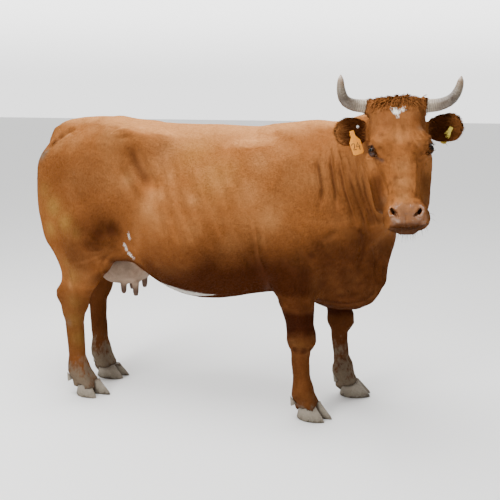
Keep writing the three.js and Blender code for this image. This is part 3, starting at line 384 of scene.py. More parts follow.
def regionWeights(points):
    # How much of the facets' smoothing each place takes: all on the trunk, little on legs and head.
    head = toHead(points)
    onFace = smoothStep(-0.18, -0.10, head[:, 1]) * smoothStep(-0.36, -0.30, head[:, 2])
    onFace = onFace * smoothStep(0.34, 0.24, np.abs(head[:, 0]))
    slim = 1 - 0.86 * smoothStep(0.62, 0.42, points[:, 2])
    weight = slim * (1 - 0.9 * onFace)
    ears = onFace * smoothStep(0.11, 0.13, np.abs(head[:, 0]))
    weight = np.clip(weight * (1 - 0.9 * ears), 0.03, 1)
    # the plain locks of the poll are smoothed away under the finer ones
    poll = smoothStep(-0.150, -0.166, head[:, 2]) * smoothStep(0.098, 0.088, np.abs(head[:, 0]))
    for name in teatNames:
        weight[inBox(points, name, 0.008)] = 0.05
    return np.maximum(weight, poll)


def smoothBy(thing, name, weights, levels, rounds):
    # Smooths a mesh as far as each point's weight says, and keeps the weights as a vertex group.
    group = thing.vertex_groups.new(name=name)
    steps = np.round(weights * levels).astype(int)
    for level in range(1, levels + 1):
        group.add(np.nonzero(steps == level)[0].tolist(), level / levels, "REPLACE")
    applyModifier(thing, "SMOOTH", factor=0.5, iterations=rounds, vertex_group=name)


skin = joinFlesh()
print("flesh joined:", len(skin.data.polygons), "faces")
smoothBy(skin, "soften", regionWeights(readPoints(skin)), 20, hide["smoothRounds"])
print("hide smoothed")


# ---- sculpting the hide

forms = {
    # marks whose path starts left of this have a twin on the far side
    "mirroredTo": 300,
    "ribSlant": 0.42,
    "ribSpacing": 0.068,
    "ribHeight": 0.0008,
    "grooves": [
        # path in the camera's frame, half width and depth in metres
        ([(131, 136), (134, 150), (140, 165), (148, 179), (156, 192)], 0.030, 0.017),
        ([(254.5, 220), (255, 235), (256.5, 250), (260, 264), (266, 273)], 0.009, 0.012),
        ([(250, 250), (256, 266), (266, 276)], 0.022, 0.010),
        ([(338, 231), (331, 236), (322, 243)], 0.012, 0.009),
        ([(298, 252), (309, 258), (318, 262)], 0.030, 0.014),
        ([(280, 262), (290, 268), (300, 272)], 0.028, 0.010),
        ([(94, 238), (106, 232), (118, 227)], 0.034, 0.016),
        ([(66, 171), (76, 200), (88, 226)], 0.030, 0.005),
        ([(70, 263), (80, 262), (92, 258), (104, 252)], 0.007, 0.0026),
        ([(84, 252), (96, 252), (108, 247)], 0.007, 0.0022),
        ([(105, 276), (103, 263), (109, 255), (119, 252)], 0.010, 0.005),
        ([(319, 302), (335, 304.5), (352, 305.5), (366, 302), (376, 294), (380, 284)], 0.010, 0.007),
        ([(385, 236), (384, 250), (379, 264), (373, 276)], 0.012, 0.008),
        ([(362, 230), (364.5, 242), (363, 256), (357, 270)], 0.014, 0.018),
        ([(55, 143), (60, 137), (67, 132), (76, 128.5)], 0.020, 0.009),
        ([(75, 320), (77, 336), (79, 352)], 0.008, 0.004),
        ([(299, 356), (299.5, 374), (301, 392)], 0.007, 0.003),
        ([(287, 346), (297, 349), (308, 350)], 0.008, 0.003),
    ],
    "ridges": [
        ([(118, 150), (126, 167), (135, 184), (146, 201)], 0.022, 0.007),
        ([(381, 262), (381.5, 276), (381.5, 286)], 0.010, 0.009),
        ([(119, 128), (121, 133), (122, 138)], 0.040, 0.010),
        ([(259, 222), (260, 240), (263, 256)], 0.014, 0.006),
        ([(262, 214), (272, 190), (284, 168), (296, 148)], 0.040, 0.008),
        ([(68, 262), (72, 276), (75, 292), (75, 306)], 0.014, 0.006),
        ([(296, 276), (300, 300), (303, 330)], 0.018, 0.004),
        ([(292, 339), (293, 343)], 0.018, 0.004),
        ([(330, 292), (345, 295), (360, 292), (370, 284)], 0.018, 0.006),
        ([(390, 240), (390, 256), (386, 270)], 0.010, 0.005),
        ([(88, 262), (98, 258), (108, 252)], 0.008, 0.003),
    ],
    "neckFolds": [
        # loose skin in long folds: half width, depth and path
        (0.0095, 0.0080, [(319, 148), (318.6, 166), (322, 186), (321, 212)]),
        (0.0090, 0.0120, [(330, 146), (331, 166), (335, 190), (338, 212)]),
        (0.0088, 0.0140, [(338, 147), (339, 166), (344, 190), (352, 214), (360, 232)]),
        (0.0088, 0.0150, [(346, 154), (349, 176), (355, 196), (364, 220), (370, 240)]),
        (0.0085, 0.0145, [(354.5, 156), (356, 176), (360, 190), (368, 212), (376, 230)]),
        (0.0080, 0.0140, [(361, 160), (362.5, 178), (366, 196), (373, 216), (378.5, 228)]),
        (0.0060, -0.0040, [(334.5, 160), (335.5, 178), (339, 196)]),
        (0.0060, -0.0045, [(350.5, 172), (353.5, 186), (359, 204)]),
        (0.0070, 0.0060, [(373, 244), (376, 258), (376.5, 270), (375, 280)]),
    ],
}


def seenPath(thing, path, steps=14):
    path = np.array(path, float)
    share = np.linspace(0, len(path) - 1, steps)
    xs = np.interp(share, range(len(path)), path[:, 0])
    ys = np.interp(share, range(len(path)), path[:, 1])
    hits = [seenOn(thing, x, y) for x, y in zip(xs, ys)]
    return [hit for hit in hits if hit is not None]


def nearBox(points, path, reach):
    path = np.array(path)
    inside = np.all((points > path.min(0) - reach) & (points < path.max(0) + reach), axis=1)
    return np.nonzero(inside)[0]


def pressLine(points, normals, path, width, depth, taper=0.28):
    # Presses a soft groove along a path into the surface, or raises a ridge for a negative depth.
    near = nearBox(points, path, 3 * width)
    if len(path) < 2 or not len(near):
        return
    d, t = lineDistance(points[near], path)
    shape = np.exp(-((d / width) ** 2)) * smoothStep(0, taper, t) * smoothStep(1, 1 - taper, t)
    points[near] -= normals[near] * (depth * shape)[:, None]


def mirroredSide(path):
    return [np.array([p[0], 2 * middleLine - p[1], p[2]]) for p in path]


def sculptTrunk(skin):
    # Grooves and ridges on both sides, the folds of the neck on the near one.
    points, normals = readPoints(skin), readNormals(skin)
    for kind, sign in (("grooves", 1), ("ridges", -1)):
        for path, width, depth in forms[kind]:
            places = seenPath(skin, path)
            pressLine(points, normals, places, width, sign * depth)
            if path[0][0] < forms["mirroredTo"]:
                pressLine(points, normals, mirroredSide(places), width, sign * depth)
    writePoints(skin, points)
    applyModifier(skin, "SMOOTH", factor=0.5, iterations=14, vertex_group="soften")
    points, normals = readPoints(skin), readNormals(skin)
    for width, depth, path in forms["neckFolds"]:
        pressLine(points, normals, seenPath(skin, path, 20), width, depth, 0.22)
    writePoints(skin, points)
    # the far side of the bent neck is stretched smooth
    x, z = points[:, 0], points[:, 2]
    far = smoothStep(0.05, 0.35, normals[:, 1]) * smoothStep(0.16, 0.26, x) * smoothStep(0.55, 0.66, z)
    far = np.maximum(far, 0.9 * smoothStep(0.5, 0.8, normals[:, 2]) * smoothStep(0.25, 0.35, x))
    far = far * smoothStep(-0.12, -0.17, toHead(points)[:, 1])
    smoothBy(skin, "farNeck", far, 10, hide["neckRounds"])


def sculptSmallForms(skin):
    points, normals = readPoints(skin), readNormals(skin)
    for name in teatNames:
        inside = inBox(points, name, 0.004, top=-0.006)
        points[inside] += 0.003 * normals[inside] * np.array([1, 1, 0.3])
    x, z, side = bodyPlace(points)
    # ribs run down and back, faint under the coat
    zone = smoothStep(-0.34, -0.22, x) * smoothStep(0.2, 0.02, x) * smoothStep(0.70, 0.86, z)
    zone = zone * smoothStep(1.22, 1.08, z) * smoothStep(0.18, 0.24, side)
    across = x + forms["ribSlant"] * (z - 0.95)
    rib = np.sin(across * 2 * math.pi / forms["ribSpacing"])
    points += normals * (forms["ribHeight"] * zone * rib)[:, None]
    # the hollow below the loin
    fossa = np.exp(-(((x + 0.36) / 0.075) ** 2) - ((z - 1.2) / 0.06) ** 2) * smoothStep(0.1, 0.2, side)
    points -= normals * (0.005 * fossa)[:, None]
    # room for the locks of the poll
    head = toHead(points)
    poll = smoothStep(-0.150, -0.172, head[:, 2]) * smoothStep(0.098, 0.088, np.abs(head[:, 0]))
    poll = poll * smoothStep(-0.21, -0.12, head[:, 1])
    points -= normals * (0.007 * poll)[:, None]
    # small unevenness of flesh and coat
    trunk = smoothStep(0.5, 0.75, points[:, 2])
    points += normals * (trunk * 0.0028 * (mottled(points, 0.09, 3) - 0.5))[:, None]
    points += normals * (0.0012 * (mottled(points, 0.03, 5) - 0.5))[:, None]
    writePoints(skin, points)


eyeForm = {
    "ball": 21.0,
    "centre": (101, -3, 5),
    "gaze": (0.66, 0.75, -0.04),
    "length": (-0.62, 0.55, 0.56),
    "halfLong": 0.96,
    "halfShort": 0.46,
}


def eyeAxes(side):
    flip = np.array([side, 1, 1])
    gaze = unit(np.array(eyeForm["gaze"]) * flip)
    long = np.array(eyeForm["length"]) * flip
    long = unit(long - gaze * (long @ gaze))
    return np.array(eyeForm["centre"]) * flip, gaze, long, np.cross(gaze, long)


def lidShare(rel, gaze, long, short):
    # 1 on the rim of the eye's opening, less inside it and more outside.
    way = unit(rel)
    ahead = np.maximum(way @ gaze, 0.05)
    a = (way @ long) / ahead / eyeForm["halfLong"]
    b = (way @ short) / ahead / eyeForm["halfShort"]
    return np.hypot(a, b / (1 - 0.35 * np.clip(a * a, 0, 1))), a, b


def sculptEyes(skin):
    points = readPoints(skin)
    head = toHead(points) * 1000
    for side in (-1, 1):
        centre, gaze, long, short = eyeAxes(side)
        rel = head - centre
        reach = np.linalg.norm(rel, axis=1)
        near = np.nonzero((reach < 60) & (unit(rel) @ gaze > 0.12))[0]
        share, a, b = lidShare(rel[near], gaze, long, short)
        upper = smoothStep(-0.3, 0.3, -b if side > 0 else b)
        lid = 23.6 + 1.6 * smoothStep(1.0, 1.3, share) + 2.0 * upper * np.exp(-(((share - 1.4) / 0.26) ** 2))
        crease = (1.2 + upper) * np.exp(-(((share - 1.78) / 0.12) ** 2))
        crease += 1.2 * np.exp(-(((share - 2.15) / 0.12) ** 2))
        target = np.where(share < 0.96, 17.0, lid - crease)
        target = np.where((share >= 0.96) & (share < 1.06), 17.0 + (share - 0.96) / 0.1 * 7.3, target)
        blend = smoothStep(2.7, 1.6, share)
        r = reach[near] * (1 - blend) + target * blend
        head[near] = centre + unit(rel[near]) * r[:, None]
    writePoints(skin, np.array(headOrigin) + (head * 0.001) @ headAxes)


def mirrorHead(path):
    head = toHead(np.array(path))
    head[:, 0] *= -1
    return list(np.array(headOrigin) + head @ headAxes)


faceLines = [
    # path, half width, depth, and whether the other side has it too
    ([(374.5, 153.5), (377.5, 158.5), (383, 161), (388, 162)], 0.007, 0.008, True),
    ([(366, 157.5), (370, 157.6), (374, 158.5)], 0.0035, 0.0025, True),
    ([(366.0, 142.0), (371, 142.6), (376, 147.5)], 0.0045, 0.0040, True),
    ([(365.6, 138.0), (371, 138.2), (377, 142.5)], 0.006, -0.0035, True),
    ([(376, 140), (383, 146), (387, 156)], 0.010, -0.005, False),
    ([(377, 166), (383, 183), (388.5, 199)], 0.011, 0.006, True),
    ([(371, 166), (376, 180), (380, 196), (383, 207)], 0.009, -0.003, False),
    ([(389, 158), (392.5, 175), (394.5, 190), (395, 200)], 0.009, -0.005, True),
    ([(387, 204), (384, 211), (384, 220), (386, 226)], 0.006, -0.0025, True),
    (
        [(382.5, 228.6), (388, 228.8), (396, 229.2), (406, 229.4), (416, 228.8), (423, 225.8), (429, 222.8)],
        0.0042, 0.010, False,
    ),
    ([(383, 225), (390, 226.1), (398, 226.3), (406, 226.4), (414, 225.8), (420, 223.8)], 0.005, -0.003, False),
    ([(406.5, 213), (406.3, 219), (406.2, 227)], 0.0022, 0.0025, False),
    ([(394, 231.6), (400, 232.6), (407, 232.8), (414, 232.2), (420, 230.6)], 0.010, -0.008, False),
    ([(396, 120), (397, 134), (399, 147)], 0.010, 0.003, True),
    ([(413, 128), (417, 138), (424, 144)], 0.0030, 0.0009, False),
    ([(416, 125), (421, 134), (428, 141)], 0.0030, 0.0009, False),
    ([(410, 131), (413, 141), (419, 147)], 0.0030, 0.0009, False),
    ([(430, 153), (428, 158), (421, 161.5)], 0.005, 0.004, False),
]
nostrilForm = {
    "right": [(391.6, 209.6), (392.6, 212.2), (395.0, 214.9), (397.6, 216.7)],
    "left": [(420.6, 208.8), (419.7, 211.4), (417.6, 213.9), (415.2, 215.9)],
    "wing": {
        "right": [(393.5, 206.6), (389.6, 208.4), (388.7, 212.4), (390.6, 216.4), (394.0, 219.2)],
        "left": [(418.0, 206.0), (422.2, 207.6), (423.2, 211.4), (421.6, 215.6), (418.2, 218.6)],
    },
    "width": 0.0058,
    "depth": 0.021,
}


def headOnly(path):
    # Leaves out the places that a path finds past the head's edge.
    head = toHead(np.array(path).reshape(-1, 3))
    return [place for place, (u, v, s) in zip(path, head) if v > -0.125 and abs(u) < 0.16]


def sculptFace(skin):
    points, normals = readPoints(skin), readNormals(skin)
    nostrils = {side: seenPath(skin, nostrilForm[side]) for side in ("right", "left")}
    wings = {side: seenPath(skin, nostrilForm["wing"][side]) for side in ("right", "left")}
    found = [headOnly(seenPath(skin, line[0])) for line in faceLines]
    for path, (drawn, width, depth, both) in zip(found, faceLines):
        if len(path) < 2:
            continue
        pressLine(points, normals, path, width, depth)
        if both:
            pressLine(points, normals, mirrorHead(path), width, depth)
    inward = -(np.array(faceOut) * 0.62 + np.array(faceDown) * 0.78)
    for side, line in nostrils.items():
        if len(line) < 2:
            continue
        pressLine(points, normals, wings[side], 0.0045, -0.0035, 0.25)
        near = nearBox(points, line, 0.03)
        d, t = lineDistance(points[near], line)
        wide = nostrilForm["width"] * (0.75 + 0.25 * np.sin(math.pi * t))
        points[near] += inward * (nostrilForm["depth"] * np.exp(-((d / wide) ** 4)))[:, None]
    writePoints(skin, points)


def splitFaces(skin, choose):
    # One more subdivision of the faces whose middles are chosen.
    mesh = skin.data
    middles = np.empty(len(mesh.polygons) * 3)
    mesh.polygons.foreach_get("center", middles)
    picked = choose(middles.reshape(-1, 3))
    selectOnly(skin)
    mesh.polygons.foreach_set("select", picked)
    mesh.vertices.foreach_set("select", np.zeros(len(mesh.vertices), bool))
    mesh.edges.foreach_set("select", np.zeros(len(mesh.edges), bool))
    bpy.ops.object.mode_set(mode="EDIT")
    bpy.context.tool_settings.mesh_select_mode = (False, False, True)
    bpy.ops.object.mode_set(mode="OBJECT")
    mesh.polygons.foreach_set("select", picked)
    bpy.ops.object.mode_set(mode="EDIT")
    bpy.ops.mesh.subdivide(number_cuts=1)
    bpy.ops.object.mode_set(mode="OBJECT")


def onFaceFront(middles):
    head = toHead(middles) * 1000
    u, v, s = np.abs(head[:, 0]), head[:, 1], head[:, 2]
    muzzle = (s > 170) & (s < 350) & (u < 110) & (v > -130)
    across = np.stack([u, v, s], 1) - np.array(eyeForm["centre"])
    return muzzle | (np.linalg.norm(across, axis=1) < 50)


splitFaces(skin, onFaceFront)
sculptTrunk(skin)
sculptSmallForms(skin)
sculptFace(skin)
applyModifier(skin, "SMOOTH", factor=0.5, iterations=1)
sculptEyes(skin)
print("hide sculpted:", len(skin.data.polygons), "faces")

# ---- markings that skin and coat share

spots = {
    # place in the camera's frame, radius in metres, strength
    # painted shade in creases, hollows and under the body, with some darker coat among the spots
    "dark": [
        (100, 230, 0.15, 0.85), (98, 234, 0.09, 0.97), (111, 230, 0.085, 0.97), (86, 228, 0.12, 0.75),
        (84, 182, 0.22, 0.48), (76, 256, 0.15, 0.72), (92, 244, 0.11, 0.85), (102, 226, 0.095, 0.86),
        (60, 172, 0.16, 0.46), (331, 241, 0.035, 0.7), (108, 205, 0.16, 0.4), (100, 150, 0.12, 0.26),
        (346, 172, 0.15, 0.4), (358, 204, 0.14, 0.6), (340, 216, 0.12, 0.44), (362, 240, 0.13, 0.9),
        (375, 218, 0.07, 0.8), (340, 262, 0.15, 0.78), (368, 276, 0.13, 0.76), (382, 248, 0.09, 0.72),
        (287, 270, 0.12, 0.5), (262, 250, 0.1, 0.3), (100, 208, 0.1, 0.35), (86, 200, 0.08, 0.28),
        (112, 246, 0.05, 0.7), (92, 246, 0.06, 0.5), (118, 190, 0.06, 0.25), (287, 266, 0.065, 0.85),
        (272, 262, 0.05, 0.7), (312, 256, 0.055, 0.95), (300, 262, 0.045, 0.8), (322, 250, 0.045, 0.7),
        (345, 258, 0.06, 0.5), (364, 230, 0.045, 0.6), (365, 248, 0.05, 0.85), (356, 268, 0.05, 0.75),
        (374, 232, 0.035, 0.65), (384, 258, 0.03, 0.5), (362, 212, 0.03, 0.35), (256, 262, 0.04, 0.75),
        (262, 278, 0.045, 0.75), (325, 276, 0.055, 0.8), (345, 276, 0.05, 0.5), (352, 303, 0.07, 0.8),
        (328, 300, 0.06, 0.85), (376, 290, 0.04, 0.6), (377, 268, 0.03, 0.6), (380, 250, 0.03, 0.35),
        (56, 141, 0.03, 0.85), (62, 136, 0.03, 0.7), (69, 131, 0.025, 0.5), (90, 292, 0.035, 0.65),
        (84, 310, 0.03, 0.55), (79, 292, 0.02, 0.35), (300, 318, 0.05, 0.5), (300, 300, 0.06, 0.6),
        (286, 300, 0.04, 0.5), (304, 351, 0.045, 0.98), (295, 350, 0.04, 0.95), (311, 349, 0.03, 0.95),
        (150, 256, 0.05, 0.2), (70, 336, 0.014, 0.3), (81, 338, 0.012, 0.5),
    ],
    # painted highlight on the back, hip, lit ridges, bridge of the nose and knee, with some sun-bleached hair
    "sunlit": [
        (140, 124, 0.07, 0.8), (175, 130, 0.07, 0.7), (110, 132, 0.07, 0.55), (95, 128, 0.05, 0.4),
        (215, 131, 0.06, 0.5), (128, 180, 0.035, 0.5), (148, 206, 0.045, 0.5), (160, 195, 0.03, 0.4),
        (193, 200, 0.03, 0.55), (262, 162, 0.05, 0.5), (250, 192, 0.055, 0.5), (285, 150, 0.07, 0.35),
        (300, 130, 0.05, 0.4), (60, 145, 0.03, 0.3), (75, 140, 0.05, 0.35), (310, 180, 0.05, 0.3),
        (263, 240, 0.03, 0.3), (352, 280, 0.05, 0.35), (120, 268, 0.02, 0.4), (404, 182, 0.032, 0.62),
        (403, 166, 0.03, 0.5), (404, 196, 0.024, 0.6), (400, 136, 0.03, 0.35), (293, 342, 0.016, 0.9),
        (313, 336, 0.012, 0.5), (70, 285, 0.018, 0.7), (72, 300, 0.016, 0.6), (95, 253, 0.014, 0.35),
        (270, 220, 0.05, 0.4), (322, 170, 0.03, 0.3), (345, 292, 0.03, 0.3), (396, 165, 0.012, 0.3),
        (120, 140, 0.03, 0.4), (152, 196, 0.03, 0.5), (170, 175, 0.03, 0.3), (380, 141, 0.012, 0.3),
        (74, 340, 0.012, 0.4),
    ],
    "ochre": [
        (53, 207, 0.05, 0.9), (64, 222, 0.05, 0.85), (50, 228, 0.04, 0.7), (44, 190, 0.04, 0.5),
        (75, 232, 0.03, 0.5), (72, 276, 0.045, 0.5), (66, 262, 0.03, 0.4), (195, 150, 0.1, 0.35),
        (215, 175, 0.1, 0.3), (76, 312, 0.03, 0.4), (73, 302, 0.04, 0.6), (74, 320, 0.05, 0.7),
        (79, 338, 0.05, 0.75), (300, 345, 0.03, 0.3),
    ],
    "mud": [
        (43.5, 153.5, 0.026, 1.0), (38.5, 159, 0.02, 0.9), (47, 150.5, 0.016, 0.8), (421, 128.5, 0.012, 0.4),
        (419, 145, 0.008, 0.2), (385, 200, 0.02, 0.18), (426, 200, 0.015, 0.15), (68, 322, 0.018, 0.45),
        (165, 152, 0.07, 0.12), (383, 214, 0.016, 0.35), (428, 216, 0.014, 0.3),
    ],
}
drawnMarks = {
    # dark lips, with painted shade along the mouth line, under the upper lip and inside the nostrils
    "lips": [
        (
            [(382, 228.6), (388, 228.8), (396, 229.2), (406, 229.4), (416, 228.8), (423, 225.8), (429, 222.8)],
            0.0046,
            1.0,
        ),
        ([(394, 223.0), (400, 224.0), (407, 224.2), (414, 223.6), (420, 221.8)], 0.0105, 0.55),
        ([(393, 231.4), (400, 232.2), (407, 232.4), (414, 231.8), (420, 230.2)], 0.0130, 0.85),
        ([(391.8, 210.4), (393.2, 213.0), (395.4, 215.2), (397.6, 216.9)], 0.0040, 1.0),
        ([(420.6, 209.4), (419.6, 212.0), (417.6, 214.4), (415.2, 216.2)], 0.0040, 1.0),
        ([(399, 208), (402, 212), (406, 213.5), (410, 211.6), (413, 207.6)], 0.0050, 0.25),
    ],
    "rims": [
        ([(390.4, 206.6), (388.6, 209.4), (388.6, 213), (390.8, 217.2)], 0.0040),
        ([(420.6, 205.6), (423.0, 208.4), (423.4, 212), (421.6, 216.4)], 0.0040),
        ([(392.6, 218.4), (395.4, 220.4), (398.2, 221.2)], 0.0075),
        ([(414.0, 220.2), (417.0, 219.4), (420.4, 217.4)], 0.0075),
        ([(375.2, 153.6), (376, 155.4)], 0.0030),
    ],
    "flank": [
        ([(127.6, 232.6), (128.6, 236), (129.6, 240)], 0.0028),
        ([(124.2, 244), (125.6, 247), (127.2, 250)], 0.0042),
        ([(128.6, 253), (130.5, 255.4), (133, 258)], 0.0060),
    ],
    "belly": [(150, 276), (163, 284.5), (176, 290), (190, 294), (204, 295.4), (215, 295)],
    # paths of painted shade along the flank groove and under the jaw
    "groove": [(129, 139), (132, 152), (138, 166), (146, 180), (151, 190)],
    "throat": [(360, 230), (364, 242), (363, 256), (357, 270)],
    "tear": [(375.4, 155.4), (377.5, 158.2), (380.5, 159.8), (383, 160.6)],
    "star": [
        (389.6, 108.8), (391.6, 109.0), (394.6, 109.4), (396.9, 109.3), (398.9, 110.7), (400.9, 109.9),
        (403.8, 108.8), (406.6, 108.8), (404.6, 110.4), (401.8, 112.0), (399.6, 114.4), (398.2, 115.9),
        (396.4, 114.7), (393.8, 114.2), (391.8, 111.9),
    ],
}
gathered = {}


def gatherMarks(skin):
    # Finds each mark's place on the finished hide once, before anything is painted or planted.
    for kind, marks in spots.items():
        found = [(seenOn(skin, x, y), radius, strength) for x, y, radius, strength in marks]
        gathered[kind] = [mark for mark in found if mark[0] is not None]
    for kind in ("belly", "groove", "throat", "tear"):
        gathered[kind] = seenPath(skin, drawnMarks[kind], 16 if kind == "belly" else 14)
    gathered["flank"] = [(seenPath(skin, path, 5), width) for path, width in drawnMarks["flank"]]
    gathered["starAt"] = seenOn(skin, 398, 114)
    gathered["whorl"] = toHead(seenOn(skin, 404, 152.5)[None])[0] * 1000
    for kind in ("rims", "lips"):
        found = [(seenPath(skin, path), *rest) for path, *rest in drawnMarks[kind]]
        gathered[kind] = [mark for mark in found if len(mark[0]) > 1]
    deep = [fold for fold in forms["neckFolds"] if fold[1] > 0.004]
    gathered["folds"] = [(seenPath(skin, path, 20), width) for width, depth, path in deep]


def insidePolygon(x, y, outline):
    inside = np.zeros(len(x), bool)
    for (ax, ay), (bx, by) in zip(outline, outline[1:] + outline[:1]):
        crosses = (ay > y) != (by > y)
        inside ^= crosses & (x < (bx - ax) * (y - ay) / (by - ay + 1e-12) + ax)
    return inside


def spotMask(points, kind, mirrored=True):
    total = np.zeros(len(points))
    wobble = 0.75 + 0.5 * mottled(points, 0.045, 11)
    for at, radius, strength in gathered[kind]:
        twin = mirroredSide([at]) if mirrored and at[0] < 0.5 else []
        for place in [at, *twin]:
            near = nearBox(points, [place], 2.6 * radius)
            reach = np.sum((points[near] - place) ** 2, axis=1) / radius**2 * wobble[near]
            total[near] = np.maximum(total[near], strength * np.exp(-reach))
    return total


def lineMask(points, line, width):
    # 1 on a line, fading away over the given width.
    return np.exp(-((lineDistance(points, line)[0] / width) ** 2))


def faceToward(normals):
    # How far a surface faces the way the hollows of the ears do.
    return normals @ (np.array(faceOut) * 0.86 + np.array(faceDown) * 0.3)


def zones(points):
    # Where a point lies: in head millimetres, and how far it belongs to face, ears, legs and udder.
    head = toHead(points) * 1000
    u, v, s = np.abs(head[:, 0]), head[:, 1], head[:, 2]
    face = smoothStep(-200, -120, v) * smoothStep(-290, -240, s) * smoothStep(360, 330, s) * smoothStep(300, 270, u)
    rear = max(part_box(name)[1][1] for name in ("head", "ear_right", "ear_left"))
    face = face * smoothStep(rear + 0.03, rear - 0.03, points[:, 1])
    ear, leg = np.zeros(len(points)), np.zeros(len(points))
    z = points[:, 2]
    for name in fleshNames:
        if name.startswith("ear"):
            ear = np.maximum(ear, inBox(points, name, 0.004) * smoothStep(112, 124, u))
        elif name.startswith("leg_"):
            leg = np.maximum(leg, inBox(points, name, 0.012, top=1.0) * smoothStep(0.62, 0.5, z))
    low, high = corners("udder")
    stretch = (high - low) / 2 * np.array([1.20, 1.08, 1.18])
    reach = np.linalg.norm((points - (low + high) / 2) / stretch, axis=1)
    udder = smoothStep(1.12, 0.98, reach) * smoothStep(0.72, 0.66, z)
    for name in teatNames:
        udder = np.maximum(udder, inBox(points, name, 0.004, top=-0.004))
    return head, u, v, s, face, ear, leg, udder


def bareMask(points):
    head, u, v, s, face, ear, leg, udder = zones(points)
    centred = np.abs(head[:, 0] - 7)
    # the wet pad of the nose and the lips, its hairs thinning out towards the edge
    ragged = 10 * (mottled(points, 0.012, 61) - 0.5)
    pad = smoothStep(218, 246, s + ragged - 0.006 * np.maximum(centred - 22, 0) ** 2)
    pad = pad * smoothStep(-30, -2, v) * smoothStep(70, 46, centred + ragged)
    lips = smoothStep(256, 276, s) * smoothStep(74, 54, centred)
    bare = np.maximum(pad, lips) * face * smoothStep(306, 294, s)
    for side in (-1, 1):
        centre, gaze, long, short = eyeAxes(side)
        rel = head - centre
        close = (np.linalg.norm(rel, axis=1) < 44) & (unit(rel) @ gaze > 0.2)
        share, a, b = lidShare(rel, gaze, long, short)
        bare = np.maximum(bare, close * smoothStep(1.30, 1.14, share))
    return np.maximum(bare, udder)


def shadeAndDarkMask(points, normals, place, cloud, fine):
    # Painted shade under the body, in creases, grooves, folds and hollows and on sides turned from the light, with the
    # darker parts of the coat; the strongest wins.
    head, u, v, s, face, ear, leg, udder = place
    x, z, side = bodyPlace(points)
    body = (1 - face) * (1 - leg)
    under = smoothStep(0.05, -0.85, normals[:, 2]) * smoothStep(0.88, 0.66, z)
    trunk = smoothStep(-0.48, -0.36, x) * smoothStep(0.52, 0.36, x) * body
    low = smoothStep(0.99, 0.68, z + 0.10 * (cloud - 0.5) + 0.10 * smoothStep(0.1, -0.4, x)) * trunk
    breast = smoothStep(1.02, 0.78, z + 0.08 * (cloud - 0.5)) * smoothStep(0.30, 0.42, x) * body
    foreTop = smoothStep(0.74, 0.60, z) * smoothStep(0.34, 0.44, z) * smoothStep(0.16, 0.26, x)
    inner = smoothStep(0.12, 0.03, side) * smoothStep(0.75, 0.6, z) * (1 - face)
    fore = smoothStep(0, 0.2, x)
    upperFore = smoothStep(0.62, 0.50, z) * smoothStep(0.36, 0.46, z) * fore
    farLeg = leg * smoothStep(0.16, 0.22, points[:, 1] - drift[1])
    earInside = ear * smoothStep(0.15, 0.55, faceToward(normals))
    earDeep = smoothStep(228, 178, u + 30 * (fine - 0.5))
    cheek = face * smoothStep(50, 84, u) * smoothStep(40, 110, s) * smoothStep(330, 250, s)
    farCheek = smoothStep(-20, 40, head[:, 0])
    brow = face * smoothStep(-20, -90, s) * (1 - earInside)
    temple = face * smoothStep(70, 96, u) * smoothStep(-20, -70, s) * (1 - ear)
    # painted shade on undersides, low on the trunk and breast, under the chest, between the legs, under the jaw, on
    # the far legs, deep in the ears and on the cheeks; legs, inner ears and chin are darker in their own coat,
    # forehead and temples darker and mottled
    shades = [
        spotMask(points, "dark"),
        0.95 * under * body,
        low,
        0.88 * breast * (0.85 + 0.3 * fine),
        0.84 * foreTop * (0.8 + 0.4 * fine),
        0.55 * inner * (1 - 0.4 * smoothStep(0.4, 0.2, z)),
        0.92 * lineMask(points, gathered["throat"], 0.024),
        leg * (0.40 + 0.36 * cloud + 0.38 * upperFore + 0.14 * fore),
        farLeg * (0.76 + 0.2 * cloud),
        earInside * (0.22 + 0.72 * earDeep),
        (0.80 - 0.26 * farCheek) * cheek * (0.7 + 0.6 * cloud),
        brow * (0.16 + 0.42 * fine),
        face * 0.5 * smoothStep(0.45, 0.8, mottled(points, 0.02, 73)),
        0.85 * smoothStep(292, 302, s) * face,
        0.35 * temple,
    ]
    dark = np.maximum.reduce(shades)
    # painted shade along the valleys of the neck folds
    for line, width in gathered["folds"]:
        near = nearBox(points, line, 0.02)
        d, t = lineDistance(points[near], line)
        strength = 0.84 * smoothStep(0, 0.35, t) * smoothStep(1, 0.7, t)
        dark[near] = np.maximum(dark[near], strength * np.exp(-((d / (0.95 * width)) ** 2)))
    # painted shade along the flank groove, on both sides
    for line in (gathered["groove"], mirroredSide(gathered["groove"])):
        d, t = lineDistance(points, line)
        strength = 0.72 * smoothStep(0, 0.3, t) * smoothStep(1, 0.7, t)
        dark = np.maximum(dark, strength * np.exp(-((d / 0.027) ** 2)))
    # painted shade in rings about the eyes, and the dark bare skin of the lids
    lidSkin = np.zeros(len(points))
    for flip in (-1, 1):
        centre, gaze, long, short = eyeAxes(flip)
        share, a, b = lidShare(head - centre, gaze, long, short)
        close = np.linalg.norm(head - centre, axis=1) < 60
        dark = np.maximum(dark, close * 0.6 * smoothStep(1.9, 1.15, share))
        lidSkin = np.maximum(lidSkin, close * smoothStep(1.34, 1.16, share))
    return dark, lidSkin, earInside


def mudMask(points, place, flakes):
    head, u, v, s, face, ear, leg, udder = place
    x, z, side = bodyPlace(points)
    nearSide = points[:, 1] < middleLine
    hindFoot = smoothStep(-0.3, -0.4, x)
    shin = smoothStep(0.30, 0.08, z + 0.12 * (1 - hindFoot) * nearSide)
    shin = np.maximum(shin, (x > 0.2) * ~nearSide * 0.8 * smoothStep(0.44, 0.16, z))
    shin = np.maximum(shin, (x < -0.3) * ~nearSide * 0.85 * smoothStep(0.30, 0.10, z))
    caked = (1 - face) * smoothStep(0.60, 0.86, flakes + 0.44 * shin - 0.08) * (0.35 + 0.6 * shin)
    return np.maximum(spotMask(points, "mud", mirrored=False), caked)


